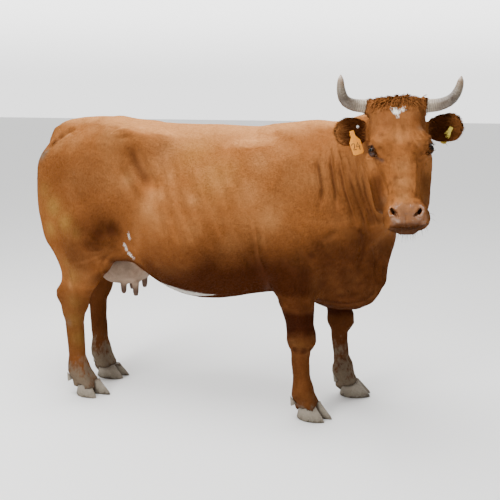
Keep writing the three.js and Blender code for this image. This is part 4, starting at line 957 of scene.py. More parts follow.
def whiteMask(points, normals, place, flakes, fine):
    head, u, v, s, face, ear, leg, udder = place
    x, z, side = bodyPlace(points)
    white = np.zeros(len(points))
    for path, width in gathered["flank"]:
        for line in (path, mirroredSide(path)):
            d = lineDistance(points, line)[0]
            white = np.maximum(white, 0.8 * smoothStep(1.3, 0.7, d / width * (0.45 + 1.1 * flakes)))
    d, t = lineDistance(points, gathered["belly"])
    wide = 0.004 + 0.026 * np.sin(math.pi * np.clip(t, 0, 1))
    streak = 0.62 * smoothStep(1.4, 0.6, d / wide * (0.5 + 1.0 * flakes)) * smoothStep(0.4, 0.0, normals[:, 2])
    belly = smoothStep(0.10, 0.05, side + 0.03 * fine) * smoothStep(-0.3, -0.8, normals[:, 2])
    belly = belly * smoothStep(0.12, -0.02, x) * smoothStep(0.8, 0.7, z) * (1 - face) * (1 - leg)
    white = np.maximum(white, np.maximum(streak, belly))
    near = np.nonzero(np.linalg.norm(points - gathered["starAt"], axis=1) < 0.07)[0]
    wobble = (mottled(points[near], 0.01, 41) - 0.5) * 0.8
    px, py = seenPlace(points[near])
    star = insidePolygon(px + wobble, py + wobble, drawnMarks["star"])
    white[near] = np.maximum(white[near], star)
    return white


def touchMasks(points, place, lidSkin, cloud, fine):
    # The small marks: nostril rims, dark lips and lids with painted shade along the mouth and inside the nostrils, the
    # tear line, the tips of the teats.
    head, u, v, s, face, ear, leg, udder = place
    x, z, side = bodyPlace(points)
    lower = lidSkin
    for line, width, strength in gathered["lips"]:
        lower = np.maximum(lower, strength * lineMask(points, line, width) * (0.8 + 0.4 * fine))
    d, t = lineDistance(points, gathered["tear"])
    tear = 0.6 * np.exp(-((d / (0.0035 + 0.004 * t)) ** 2)) * (0.4 + mottled(points, 0.01, 67))
    rim = np.maximum.reduce([lineMask(points, line, width) for line, width in gathered["rims"]])
    rim = rim * face * smoothStep(0.30, 0.62, mottled(points, 0.007, 65))
    tips = np.zeros(len(points))
    for name in teatNames:
        low, high = corners(name)
        down = (high[2] - z) / (high[2] - low[2])
        tip = inBox(points, name, 0.006) * smoothStep(0.12, 0.6, down + 0.5 * (fine - 0.5))
        tips = np.maximum(tips, tip)
    tips = np.maximum(tips, 0.3 * smoothStep(0.10, 0.03, side) * udder * cloud)
    tips = np.maximum(tips, udder * 0.5 * smoothStep(0.42, 0.8, 0.6 * fine + 0.4 * cloud))
    return np.stack([np.clip(rim, 0, 1), np.clip(lower, 0, 1) * face, tear, tips], 1)


def markings(points, normals):
    # Three layers of four masks each, for the colours of hide and hair; the first holds painted shade and painted
    # highlight beside ochre and mud.
    place = zones(points)
    face, leg, udder = place[4], place[6], place[7]
    cloud, fine = mottled(points, 0.11, 21), mottled(points, 0.03, 25)
    flakes = 0.45 * mottled(points, 0.03, 31) + 0.55 * mottled(points, 0.008, 33)
    dark, lidSkin, earInside = shadeAndDarkMask(points, normals, place, cloud, fine)
    # painted highlight on the upward-facing trunk
    topHighlight = smoothStep(0.72, 0.99, normals[:, 2]) * (1 - face) * (1 - leg)
    sunlit = np.clip(np.maximum(spotMask(points, "sunlit"), topHighlight) * (0.7 + 0.6 * fine), 0, 1)
    ochre = np.clip(spotMask(points, "ochre") * (0.6 + 0.8 * cloud), 0, 1)
    pad = bareMask(points) * (1 - udder) * (1 - lidSkin) * (0.62 + 0.38 * mottled(points, 0.016, 69))
    marks = np.stack([dark, sunlit, ochre, mudMask(points, place, flakes)], 1)
    pale = np.stack([whiteMask(points, normals, place, flakes, fine), pad, udder, earInside], 1)
    return marks, pale, touchMasks(points, place, lidSkin, cloud, fine)


def coatLength(points):
    head, u, v, s, face, ear, leg, udder = zones(points)
    length = 0.0145 * (1 - face) + face * (0.0085 + 0.006 * smoothStep(-60, -170, s))
    foot = smoothStep(0.34, 0.12, points[:, 2])
    return length * (1 - 0.42 * np.maximum(leg * 0.5, foot)) * (1 - bareMask(points))


def mixed(a, b, share):
    return a * (1 - share) + b * share


def coatFlow(points, normals):
    # The way the coat lies: back along the trunk, down the legs, out from the whorl on the face.
    head, u, v, s, face, ear, leg, udder = zones(points)
    x, z, side = bodyPlace(points)
    way = np.tile([-0.9, 0.0, -0.42], (len(points), 1))
    way = mixed(way, np.array([-0.28, 0, -0.96]), smoothStep(-0.35, -0.6, x)[:, None])
    down = smoothStep(0.82, 0.6, z)[:, None] * smoothStep(0.30, 0.36, np.abs(x))[:, None]
    way = mixed(way, np.array([-0.1, 0, -1.0]), down)
    neckWay = unit(placed(0.30, 0.16, 0.86) - np.array(headOrigin)) + np.array([0, 0, -1.1])
    way = mixed(way, neckWay, (smoothStep(0.34, 0.52, x) * smoothStep(0.55, 0.75, z))[:, None])
    du, ds = head[:, 0] - gathered["whorl"][0], head[:, 2] - gathered["whorl"][2]
    flat, hand = np.zeros(len(du)), np.sign(head[:, 0])
    out = unit(np.stack([du, flat, ds], 1))
    spin = np.stack([-out[:, 2], flat, out[:, 0]], 1)
    local = out + 0.9 * np.exp(-((np.hypot(du, ds) / 26) ** 2))[:, None] * spin
    below = np.stack([np.sign(du) * 0.12, -0.25 * smoothStep(40, 90, u), flat + 1], 1)
    local = mixed(local, below, smoothStep(20, 90, ds)[:, None])
    cheekWay = np.stack([hand * 0.1, flat - 0.8, flat + 0.45], 1)
    local = mixed(local, cheekWay, (smoothStep(58, 90, u) * smoothStep(0, -40, v))[:, None])
    local = mixed(local, np.stack([hand * 0.9, flat - 0.33, flat - 0.26], 1), ear[:, None])
    way = mixed(way, local @ headAxes, face[:, None])
    # neighbouring hairs lean together in clumps
    lean = (cloudNoise(points, 0.016, 51) - 0.5) * 0.06 + (cloudNoise(points, 0.10, 53) - 0.5) * 0.24
    way = unit(way - normals * np.sum(way * normals, axis=1, keepdims=True))
    return unit(way * np.cos(lean)[:, None] + np.cross(normals, way) * np.sin(lean)[:, None])


def addLayer(thing, name, values, kind="FLOAT"):
    field = {"FLOAT": "value", "FLOAT_COLOR": "color", "FLOAT_VECTOR": "vector"}[kind]
    layer = thing.data.attributes.new(name, kind, "POINT")
    layer.data.foreach_set(field, np.ascontiguousarray(values, dtype=np.float32).ravel())


def writeMarks(thing, *layers):
    for name, values in zip(("marks", "pale", "touch"), layers):
        addLayer(thing, name, values, "FLOAT_COLOR")


gatherMarks(skin)
applyModifier(skin, "DECIMATE", ratio=hide["triangles"] / (2 * len(skin.data.polygons)))
print("hide thinned:", len(skin.data.polygons), "faces")
hideOuter, hideNormals = readPoints(skin), readNormals(skin)
writeMarks(skin, *markings(hideOuter, hideNormals))
depths = hide["seatDepth"] * coatLength(hideOuter) / hide["seatLength"]
writePoints(skin, hideOuter - hideNormals * depths[:, None])
selectOnly(skin)
bpy.ops.object.shade_smooth()
print("hide marked")

# ---- finishes

palette = {
    "coat": (0.272, 0.095, 0.0245, 1),
    # colour of the painted shade and of the darkest coat
    "deep": (0.034, 0.0072, 0.0013, 1),
    # colour of the painted highlight, also used for soft random lightening
    "sunlit": (0.54, 0.245, 0.088, 1),
    "ochre": (0.36, 0.19, 0.045, 1),
    "mud": (0.165, 0.130, 0.090, 1),
    "white": (0.80, 0.76, 0.68, 1),
    "muzzle": (0.19, 0.086, 0.043, 1),
    "rim": (0.46, 0.29, 0.205, 1),
    "lip": (0.070, 0.030, 0.014, 1),
    "slate": (0.060, 0.046, 0.042, 1),
    "udder": (0.26, 0.180, 0.128, 1),
    "tip": (0.085, 0.050, 0.036, 1),
}


def coatTint():
    # Colour of hide and hair from the painted marks, painted shade and painted highlight among them, broken up by soft
    # and fine variation.
    inputs = [("Place", "Vector", None), ("Marks", "Color", None), ("Pale", "Color", None), ("Touch", "Color", None)]
    inputs += [(name, "Float", 0.0) for name in ("Tip Mark", "White Mark", "Mud Mark")]
    inputs += [(name, "Float", 0.5) for name in ("Chance", "Along")]
    inputs += [(name.capitalize(), "Color", colour) for name, colour in palette.items()]
    group = bpy.data.node_groups.new("coatTint", "ShaderNodeTree")
    for name, kind, value in inputs:
        socket = group.interface.new_socket(name, in_out="INPUT", socket_type="NodeSocket" + kind)
        if value is not None:
            socket.default_value = value
    group.interface.new_socket("Color", in_out="OUTPUT", socket_type="NodeSocketColor")
    get = group.nodes.new("NodeGroupInput").outputs
    marks, pale, touch = (separated(group, get[name]) for name in ("Marks", "Pale", "Touch"))
    broad = noiseNode(group, get["Place"], 6.0)
    fine = noiseNode(group, get["Place"], 150.0, 2.0)
    speckle = noiseNode(group, get["Place"], 60.0, 4.0, 0.7)

    def share(mark, amount):
        return mathNode(group, "MULTIPLY", mark, amount)

    tone = get["Coat"]
    layers = (
        # soft random lightening in the highlight colour
        (stretched(group, broad, 0.45, 1.1), "Sunlit"),
        # painted highlight
        (share(marks[1], 0.75), "Sunlit"),
        (share(marks[2], 0.80), "Ochre"),
        # painted shade, with the darker parts of the coat
        (share(marks[0], 0.96), "Deep"),
        (share(get["Mud Mark"], 0.9), "Mud"),
        (get["White Mark"], "White"),
        (share(pale[1], 0.85), "Muzzle"),
        (touch[1], "Lip"),
        (share(touch[0], 0.6), "Rim"),
        (touch[2], "Slate"),
        (pale[2], "Udder"),
        (get["Tip Mark"], "Tip"),
    )
    for amount, name in layers:
        tone = mixColours(group, amount, tone, get[name])
    lift = share(get["Chance"], 0.24)
    for value, amount in ((fine, 0.34), (get["Along"], 0.10), (speckle, 0.50)):
        lift = mathNode(group, "ADD", lift, share(value, amount))
    lift = mathNode(group, "ADD", lift, 0.41)
    lifted = addNode(group, "VectorMath", {0: tone, "Scale": lift}, operation="SCALE").outputs[0]
    group.links.new(lifted, group.nodes.new("NodeGroupOutput").inputs["Color"])
    return group


coatTintGroup = coatTint()


def coatMaterial(name, isHair):
    material, tree, shader = newMaterial(name)
    place = objectPlace(tree)
    marks, pale, touch = (readAttribute(tree, layer) for layer in ("marks", "pale", "touch"))
    pales = separated(tree, pale["Color"])
    values = {"Place": place, "Marks": marks["Color"], "Pale": pale["Color"], "Touch": touch["Color"]}
    values.update({"Mud Mark": marks["Alpha"], "White Mark": pales[0], "Tip Mark": touch["Alpha"]})
    if isHair:
        strand = separated(tree, readAttribute(tree, "strand")["Color"])
        values.update({"Along": strand[0], "Chance": strand[1]})
        # hair takes most of its shading from the hide below it
        turns = {"vector_type": "VECTOR", "convert_from": "OBJECT", "convert_to": "WORLD"}
        lay = addNode(tree, "VectorTransform", {0: readAttribute(tree, "lay")["Vector"]}, **turns).outputs[0]
        own = addNode(tree, "NewGeometry", {}).outputs["Normal"]
        near = addNode(tree, "VectorMath", {0: own, 1: (0.4, 0.4, 0.4), 2: lay}, operation="MULTIPLY_ADD").outputs[0]
        facing = addNode(tree, "VectorMath", {0: near}, operation="NORMALIZE").outputs[0]
        feed(tree, shader, {"Normal": facing, "Roughness": 0.6, "Specular IOR Level": 0.0})
    else:
        grain = mathNode(tree, "ADD", noiseNode(tree, place, 420.0), noiseNode(tree, place, 110.0))
        bumped(tree, shader, grain, 0.4, 0.0012)
        wet = mathNode(tree, "ADD", mathNode(tree, "MULTIPLY", pales[1], -0.22), 0.62)
        # the nose pad is wet in drops and streaks
        drops = stretched(tree, noiseNode(tree, place, 95.0, 2.0), 0.50, mathNode(tree, "MULTIPLY", pales[1], 7.0))
        film = addNode(tree, "Clamp", {"Value": drops}).outputs[0]
        feed(tree, shader, {"Roughness": wet, "Specular IOR Level": 0.04, "Coat Weight": film, "Coat Roughness": 0.12})
    tint = addNode(tree, "Group", values, node_tree=coatTintGroup)
    feed(tree, shader, {"Base Color": tint.outputs["Color"]})
    return material


def clothe(thing, material, slot, *replaced):
    thing.data.materials.clear()
    thing.data.materials.append(material)
    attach(thing, "root")
    if replaced:
        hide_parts(*replaced)


hideFinish = coatMaterial("hideFinish", False)
coatFinish = coatMaterial("coatFinish", True)
clothe(skin, hideFinish, "coat", *fleshNames)

# ---- the coat: short solid tufts along the lie of the hair

coat = {
    "perPiece": 47000,
    "trunkPieces": 5,
    "headPieces": 1,
    "legsPieces": 1,
    "trunkWidth": 0.0028,
    "headWidth": 0.0018,
    "legsWidth": 0.0018,
    "lift": 0.00045,
    "patch": 0.003,
    "sheetFaces": 7000,
    "seed": 20,
}


def unwrapHide(skin):
    # A small copy of the hide, unwrapped: each tuft takes its place on this map.
    small = skin.copy()
    small.data = skin.data.copy()
    bpy.context.collection.objects.link(small)
    applyModifier(small, "DECIMATE", ratio=coat["sheetFaces"] / len(small.data.polygons))
    bpy.ops.object.mode_set(mode="EDIT")
    bpy.ops.mesh.select_all(action="SELECT")
    bpy.ops.mesh.quads_convert_to_tris()
    bpy.ops.uv.smart_project(angle_limit=math.radians(66), island_margin=0.002)
    bpy.ops.object.mode_set(mode="OBJECT")
    return small


def mapPlaces(small, roots):
    mesh = small.data
    mesh.calc_loop_triangles()
    uv = np.empty(len(mesh.loops) * 2)
    mesh.uv_layers.active.data.foreach_get("uv", uv)
    uv = uv.reshape(-1, 2)
    starts = np.empty(len(mesh.polygons), np.int64)
    mesh.polygons.foreach_get("loop_start", starts)
    vertexOf = np.empty(len(mesh.loops), np.int64)
    mesh.loops.foreach_get("vertex_index", vertexOf)
    points = readPoints(small)
    face = np.empty(len(roots), np.int64)
    for i, root in enumerate(roots.tolist()):
        face[i] = small.closest_point_on_mesh(root)[3]
    start = starts[face]
    a, b, c = (points[vertexOf[start + k]] for k in range(3))
    e1, e2, rel = b - a, c - a, roots - a
    d11, d12, d22 = (e1 * e1).sum(1), (e1 * e2).sum(1), (e2 * e2).sum(1)
    r1, r2 = (rel * e1).sum(1), (rel * e2).sum(1)
    det = np.maximum(d11 * d22 - d12 * d12, 1e-18)
    w1 = np.clip((d22 * r1 - d12 * r2) / det, 0, 1)
    w2 = np.clip((d11 * r2 - d12 * r1) / det, 0, 1)
    over = np.maximum(w1 + w2, 1)
    w1, w2 = w1 / over, w2 / over
    return (1 - w1 - w2)[:, None] * uv[start] + w1[:, None] * uv[start + 1] + w2[:, None] * uv[start + 2]


def plantRoots(density, count):
    # Roots spread over the hide as thickly as the density says, and the normals there.
    a, b, c = (skinPoints[triangles[:, k]] for k in range(3))
    area = np.linalg.norm(np.cross(b - a, c - a), axis=1) / 2
    weight = np.cumsum(area * density.astype(float)[triangles].mean(1))
    spread = (np.arange(count) + draw.random(count)) / count * weight[-1]
    pick = np.minimum(np.searchsorted(weight, spread), len(triangles) - 1)
    r1, r2 = np.sqrt(draw.random(count))[:, None], draw.random(count)[:, None]
    shares = (1 - r1, r1 * (1 - r2), r1 * r2)
    corner = triangles[pick]
    roots = sum(share * skinPoints[corner[:, k]] for k, share in enumerate(shares))
    outward = unit(sum(share * skinNormals[corner[:, k]] for k, share in enumerate(shares)))
    return roots, outward


def meshFromTriangles(name, points, triangles):
    mesh = bpy.data.meshes.new(name)
    mesh.vertices.add(len(points))
    mesh.vertices.foreach_set("co", np.ascontiguousarray(points, dtype=np.float32).ravel())
    mesh.loops.add(triangles.size)
    mesh.loops.foreach_set("vertex_index", np.ascontiguousarray(triangles, dtype=np.int32).ravel())
    mesh.polygons.add(len(triangles))
    mesh.polygons.foreach_set("loop_start", np.arange(0, triangles.size, 3, dtype=np.int32))
    mesh.polygons.foreach_set("use_smooth", np.ones(len(triangles), bool))
    mesh.update(calc_edges=True)
    thing = bpy.data.objects.new(name, mesh)
    bpy.context.collection.objects.link(thing)
    return thing


def dressTufts(thing, roots, outward, along, patch, faces, margin, material, slot="coat"):
    # What all tufts and locks carry: the hide's marks, a shade of their own and a place on its map.
    count, each = len(roots), len(along)
    writeMarks(thing, *(np.repeat(layer, each, axis=0) for layer in markings(roots, outward)))
    strand = np.ones((count, each, 4))
    strand[:, :, 0] = along
    strand[:, :, 1] = draw.random(count)[:, None]
    addLayer(thing, "strand", strand, "FLOAT_COLOR")
    place = np.clip(mapPlaces(sheet, roots), margin, 0.996)
    spread = (place[:, None, :] + (np.array(patch) - 0.5)[None] * coat["patch"]).reshape(-1, 2)
    layer = thing.data.uv_layers.new(name="OFBake")
    layer.data.foreach_set("uv", np.clip(spread, 0, 1)[faces.reshape(-1)].astype(np.float32).ravel())
    clothe(thing, material, slot)
    print(thing.name, count, "grown")


def growTufts(name, roots, outward, flow, length, width):
    # Each tuft is a closed, thin, arched leaf: two root corners, a ridge and a tip.
    count = len(roots)
    flow = unit(flow + np.cross(flow, outward) * draw.normal(0, 0.10, count)[:, None])
    across = unit(np.cross(flow, outward))
    long = (length * draw.uniform(0.75, 1.2, count))[:, None]
    wide = (width * draw.uniform(0.8, 1.25, count))[:, None] / 2
    rise = (coat["lift"] * draw.uniform(0.6, 1.4, count))[:, None]
    root = roots - outward * 0.0008
    ridge = roots + flow * long * 0.42 + outward * (rise + 0.0004)
    tip = roots + flow * long + outward * rise * 0.9
    points = np.stack([root - across * wide, root + across * wide, ridge, tip], 1).reshape(-1, 3)
    base = (np.arange(count) * 4)[:, None]
    faces = np.concatenate([base + np.array(t) for t in ((0, 1, 2), (1, 3, 2), (3, 0, 2), (0, 3, 1))], 1)
    thing = meshFromTriangles(name, points, faces.reshape(-1, 3))
    patch = [[0, 0], [1, 0], [0.5, 0.5], [0.5, 1]]
    dressTufts(thing, roots, outward, [0, 0, 0.5, 1], patch, faces, 0.001, coatFinish)
    addLayer(thing, "lay", np.repeat(outward, 4, axis=0), "FLOAT_VECTOR")


sheet = unwrapHide(skin)
print("hide unwrapped")
skinPoints, skinNormals = readPoints(skin), readNormals(skin)
skin.data.calc_loop_triangles()
triangles = np.empty(len(skin.data.loop_triangles) * 3, np.int64)
skin.data.loop_triangles.foreach_get("vertices", triangles)
triangles = triangles.reshape(-1, 3)
draw = np.random.default_rng(coat["seed"])
head, u, v, s, face, ear, leg, udder = zones(skinPoints)
covered = 1 - smoothStep(0.25, 0.6, bareMask(skinPoints))
onLeg = (1 - face) * smoothStep(0.52, 0.48, skinPoints[:, 2])
regions = {
    "head": (face > 0.4) * covered,
    "legs": (onLeg > 0.4) * covered,
    "trunk": ((face <= 0.6) & (onLeg <= 0.6)) * covered,
}
for region, density in regions.items():
    pieces = coat[region + "Pieces"]
    roots, outward = plantRoots(density, coat["perPiece"] * pieces // (1))
    order = np.argsort(roots[:, 0], kind="stable")
    roots, outward = roots[order], outward[order]
    length = coatLength(roots)
    keep = length > 0.003
    roots, outward, length = roots[keep], outward[keep], length[keep]
    flow = coatFlow(roots, outward)
    width = coat[region + "Width"] * 1
    for piece, part in enumerate(np.array_split(np.arange(len(roots)), pieces)):
        growTufts(f"coat_{region}_{piece + 1}", roots[part], outward[part], flow[part], length[part], width)
print("coat grown")


# ---- locks: poll, ears, tail switch, lashes and chin

locks = {
    "poll": {"count": 900, "length": (0.030, 0.052), "width": 0.0046, "curl": 0.30},
    "ears": {"count": 900, "length": (0.012, 0.026), "width": 0.0020, "curl": 0.10},
    "switch": {"count": 420, "length": (0.11, 0.19), "width": 0.0058, "curl": 0.06},
    "lashes": {"count": 22, "length": (0.010, 0.016), "width": 0.0011},
    "whiskers": {"count": 110, "length": (0.012, 0.030), "width": 0.0008},
}


def growLocks(name, paths, outward, width, slot="coat", stiff=False):
    # Each lock is a closed, flat, tapering strand of three-sided rings along its path.
    count, steps = paths.shape[0], paths.shape[1]
    tangent = np.gradient(paths, axis=1)
    across = unit(np.cross(tangent, outward[:, None, :]))
    above = unit(np.cross(across, tangent))
    share = np.linspace(0, 1, steps)
    taper = np.interp(share, [0, 0.25, 0.6, 1], [1, 0.8, 0.5, 0.1] if stiff else [0.8, 1.0, 0.75, 0.12])
    wide = ((width * draw.uniform(0.7, 1.3, count))[:, None] * taper / 2)[..., None]
    ridge = paths + above * wide * (0.9 if stiff else 0.5)
    rings = np.stack([paths - across * wide, paths + across * wide, ridge], 2).reshape(-1, 3)
    faces = []
    for a in range(0, 3 * (steps - 1), 3):
        for i, j in ((0, 1), (1, 2), (2, 0)):
            faces += [(a + i, a + 3 + i, a + j), (a + j, a + 3 + i, a + 3 + j)]
    last = 3 * (steps - 1)
    faces += [(0, 1, 2), (last, last + 2, last + 1)]
    base = (np.arange(count) * 3 * steps)[:, None]
    shell = np.concatenate([base + np.array(face) for face in faces], 1).reshape(-1, 3)
    thing = meshFromTriangles(name, rings, shell)
    along = np.repeat(share, 3)
    patch = np.stack([np.tile([0.0, 1.0, 0.5], steps), along], 1)
    finish = lashFinish if stiff else coatFinish
    dressTufts(thing, paths[:, 0], outward, along, patch, shell, 0.002, finish, slot)
    return thing


def bentPaths(roots, ways, outward, lengths, curl, steps, sink=0.004):
    # Paths that leave the skin along their way, arch over it and bend to one side.
    across = unit(np.cross(ways, outward))
    turn = draw.normal(0, curl, len(roots))[:, None, None]
    t = np.linspace(0, 1, steps)[None, :, None]
    long = lengths[:, None, None]
    path = roots[:, None] + ways[:, None] * long * (t - 0.25 * np.abs(turn) * t**2)
    path = path + across[:, None] * long * turn * t**2
    return path + outward[:, None] * (0.06 * long * np.sin(math.pi * np.clip(t * 0.8, 0, 1)) - sink * (1 - t) ** 4)


lashFinish = plainMaterial("lashFinish", (0.030, 0.014, 0.008, 1), Roughness=0.45)


def growPoll():
    kind = locks["poll"]
    top = (s < -158) & (s > -262) & (u < 92) & (v > -110) & (ear < 0.1)
    roots, outward = plantRoots(top * (0.5 + smoothStep(-150, -190, s)), kind["count"])
    spot = toHead(roots) * 1000
    side = np.clip(spot[:, 0] / 80, -1, 1)
    local = np.stack([0.85 * side, 0.1 + 0 * side, 0.55 + 0.6 * (1 - np.abs(side))], 1)
    local[:, 0] += draw.normal(0, 0.22, len(roots))
    ways = unit(local) @ headAxes
    ways = unit(ways - outward * np.sum(ways * outward, axis=1, keepdims=True))
    lengths = draw.uniform(*kind["length"], len(roots)) * (1 - 0.35 * smoothStep(0.6, 1, np.abs(side)))
    lengths *= 1 - 0.45 * smoothStep(-185, -160, spot[:, 2])
    paths = bentPaths(roots, ways, outward, lengths, kind["curl"], 6)
    growLocks("coat_poll_locks", paths, outward, kind["width"])


def growEars():
    kind = locks["ears"]
    facing = faceToward(skinNormals)
    roots, outward = plantRoots((ear > 0.5) * (0.25 + smoothStep(-0.1, 0.3, facing)), kind["count"])
    spot = toHead(roots) * 1000
    rim = np.stack([np.sign(spot[:, 0]) * 0.9, -0.2 + 0 * spot[:, 0], draw.normal(-0.1, 0.4, len(roots))], 1)
    ways = unit(rim) @ headAxes + 0.45 * outward
    lengths = draw.uniform(*kind["length"], len(roots)) * (1 - 0.55 * smoothStep(200, 250, np.abs(spot[:, 0])))
    paths = bentPaths(roots, unit(ways), outward, lengths, kind["curl"], 4, 0.002)
    growLocks("coat_ear_locks", paths, outward, kind["width"])


def growSwitch():
    kind = locks["switch"]
    low, high = corners("tail_switch")
    tailLow, tailHigh = corners("tail")
    count = kind["count"]
    level = draw.random(count) ** 0.8
    turn = draw.random(count) * 2 * math.pi
    middle = (low + high) / 2
    middle[1] = (middle[1] + (tailLow[1] + tailHigh[1]) / 2) / 2
    outward = np.stack([np.cos(turn), np.sin(turn), 0 * turn], 1)
    height = high[2] - 0.006 - level * 0.42 * (high[2] - low[2])
    roots = np.stack([middle[0] + 0 * turn, middle[1] + 0 * turn, height], 1) + outward * 0.007
    lengths = np.minimum(draw.uniform(*kind["length"], count), height - low[2] - 0.004)
    spread = np.minimum(high[0] - low[0], high[1] - low[1]) / 2 - 0.008
    out = spread * (0.35 + 0.6 * draw.random(count))
    t = np.linspace(0, 1, 7)[None, :, None]
    path = roots[:, None] + np.array([0, 0, -1.0]) * lengths[:, None, None] * t
    swell = np.sin(math.pi * np.clip(0.12 + 0.72 * t, 0, 1)) - 0.36
    path = path + outward[:, None] * (out - 0.007)[:, None, None] * swell * smoothStep(0, 0.25, t)
    sideways = np.cross(outward, (0, 0, 1.0))
    path = path + sideways[:, None] * (0.010 * draw.normal(0, 0.6, count))[:, None, None] * np.sin(math.pi * t)
    thing = growLocks("tail_switch_locks", path, outward, kind["width"], "hair")
    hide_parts("tail_switch")


def growLashes():
    kind = locks["lashes"]
    starts, ways, faces = [], [], []
    for side in (-1, 1):
        centre, gaze, long, short = eyeAxes(side)
        upper = short if side < 0 else -short
        for i in range(kind["count"]):
            a = math.pi * (0.12 + 0.76 * i / (kind["count"] - 1)) + draw.uniform(-0.03, 0.03)
            reach = 1.04 * eyeForm["halfLong"] * math.cos(a), 1.14 * eyeForm["halfShort"] * math.sin(a)
            way = unit(gaze + long * reach[0] + upper * reach[1])
            outer = unit(0.75 * upper * math.sin(a) + 0.35 * long * math.cos(a) + 0.62 * gaze)
            starts.append(onHead(*(centre + way * 24.0)))
            ways.append(outer @ headAxes)
            faces.append(unit(upper + 0.3 * gaze) @ headAxes)
    roots, ways, outward = np.array(starts), np.array(ways), np.array(faces)
    lengths = draw.uniform(*kind["length"], len(roots))
    t = np.linspace(0, 1, 5)[None, :, None]
    path = roots[:, None] + ways[:, None] * lengths[:, None, None] * t
    path = path + outward[:, None] * lengths[:, None, None] * 0.22 * t**2
    growLocks("coat_lashes", path, outward, kind["width"], stiff=True)


def growWhiskers():
    kind = locks["whiskers"]
    muzzle = (face > 0.5) & (s > 236) & (u < 90)
    roots, outward = plantRoots(muzzle * (0.3 + smoothStep(280, 310, s)), kind["count"])
    ways = unit(outward + 0.5 * np.array(faceDown) + draw.normal(0, 0.18, (len(roots), 3)))
    lengths = draw.uniform(*kind["length"], len(roots))
    t = np.linspace(0, 1, 4)[None, :, None]
    path = roots[:, None] + ways[:, None] * lengths[:, None, None] * (t - 0.04)
    path = path + np.array([0, 0, -0.25]) * lengths[:, None, None] * t**2
    side = unit(np.cross(ways, np.array([0.3, 0.2, 1.0])))
    growLocks("coat_whiskers", path, side, kind["width"], stiff=True)


growPoll()
growEars()
growSwitch()
growLashes()
growWhiskers()
bpy.data.objects.remove(sheet)
print("locks grown")

# ---- horns, claws, eyes, tags and stud

horn = {
    "voxel": 0.0022,
    "rings": 26,
    "ringDepth": 0.0007,
    "right": [
        (-92, -40, -198), (-126, -37, -200), (-169, -28, -204), (-198, -12, -216), (-210, 5, -248), (-210, 28, -304),
    ],
    "left": [
        (92, -40, -192), (128, -37, -190), (168, -28, -190), (206, -12, -202), (230, 5, -233), (241, 28, -276),
    ],
}


def finePiece(node, name, voxel, rounds, grow=0.0):
    thing = nodeCopy(node, grow)
    thing.name = name
    applyModifier(thing, "REMESH", mode="VOXEL", voxel_size=voxel, adaptivity=0.0)
    applyModifier(thing, "SMOOTH", factor=0.5, iterations=rounds)
    return thing


def finishPiece(thing, material, slot, *replaced):
    selectOnly(thing)
    bpy.ops.object.shade_smooth()
    clothe(thing, material, slot, *replaced)


def colourRamp(tree, factor, stops):
    node = tree.nodes.new("ShaderNodeValToRGB")
    ramp = node.color_ramp
    while len(ramp.elements) < len(stops):
        ramp.elements.new(0.5)
    for element, (place, colour) in zip(ramp.elements, stops):
        element.position = place
        element.color = (*colour, 1)
    tree.links.new(factor, node.inputs["Fac"])
    return node.outputs["Color"]


def hornMaterial():
    material, tree, shader = newMaterial("hornFinish")
    along, ring = (readAttribute(tree, layer)["Fac"] for layer in ("along", "ring"))
    place = objectPlace(tree)
    shift = stretched(tree, noiseNode(tree, place, 28.0, 4.0), 0.5, 0.32)
    stops = (
        (0.0, (0.24, 0.175, 0.12)), (0.14, (0.46, 0.380, 0.285)), (0.32, (0.22, 0.175, 0.130)),
        (0.54, (0.070, 0.052, 0.038)), (0.74, (0.15, 0.12, 0.088)), (0.90, (0.20, 0.135, 0.085)),
        (1.0, (0.34, 0.26, 0.20)),
    )
    tone = colourRamp(tree, mathNode(tree, "ADD", along, shift), stops)
    grain = noiseNode(tree, place, 190.0)
    blotch = noiseNode(tree, place, 70.0, 4.0, 0.7)
    dirt = mathNode(tree, "MULTIPLY", mathNode(tree, "SUBTRACT", 1.0, ring), mathNode(tree, "SUBTRACT", 1.05, along))
    dirt = mathNode(tree, "MULTIPLY", dirt, mathNode(tree, "ADD", grain, 0.15))
    tone = mixColours(tree, mathNode(tree, "MULTIPLY", dirt, 0.9), tone, (0.075, 0.050, 0.034, 1))
    tone = mixColours(tree, stretched(tree, blotch, 0.56, 3.0), tone, (0.36, 0.31, 0.25, 1))
    feed(tree, shader, {"Base Color": tone, "Roughness": 0.42, "Specular IOR Level": 0.35})
    bumped(tree, shader, mathNode(tree, "ADD", grain, ring), 0.35, 0.0009)
    return material


hornFinish = hornMaterial()
for side in ("right", "left"):
    thing = finePiece(f"horn_{side}", f"horn_{side}_fine", horn["voxel"], 16, 0.0006)
    points, normals = readPoints(thing), readNormals(thing)
    path = [onHead(*p) for p in horn[side]]
    share = lineDistance(points, path)[1]
    ring = 0.5 + 0.5 * np.sin(share**0.9 * horn["rings"] * 2 * math.pi + 2.5 * mottled(points, 0.03, 71))
    points -= normals * (horn["ringDepth"] * (1 - ring) * smoothStep(0.62, 0.2, share))[:, None]
    points += normals * (0.0009 * (mottled(points, 0.02, 73) - 0.5))[:, None]
    writePoints(thing, points)
    addLayer(thing, "along", share)
    addLayer(thing, "ring", ring)
    finishPiece(thing, hornFinish, "horn", f"horn_{side}")
print("horns shaped")

hoof = {"voxel": 0.0027, "ringStep": 0.0085, "ringDepth": 0.0006}


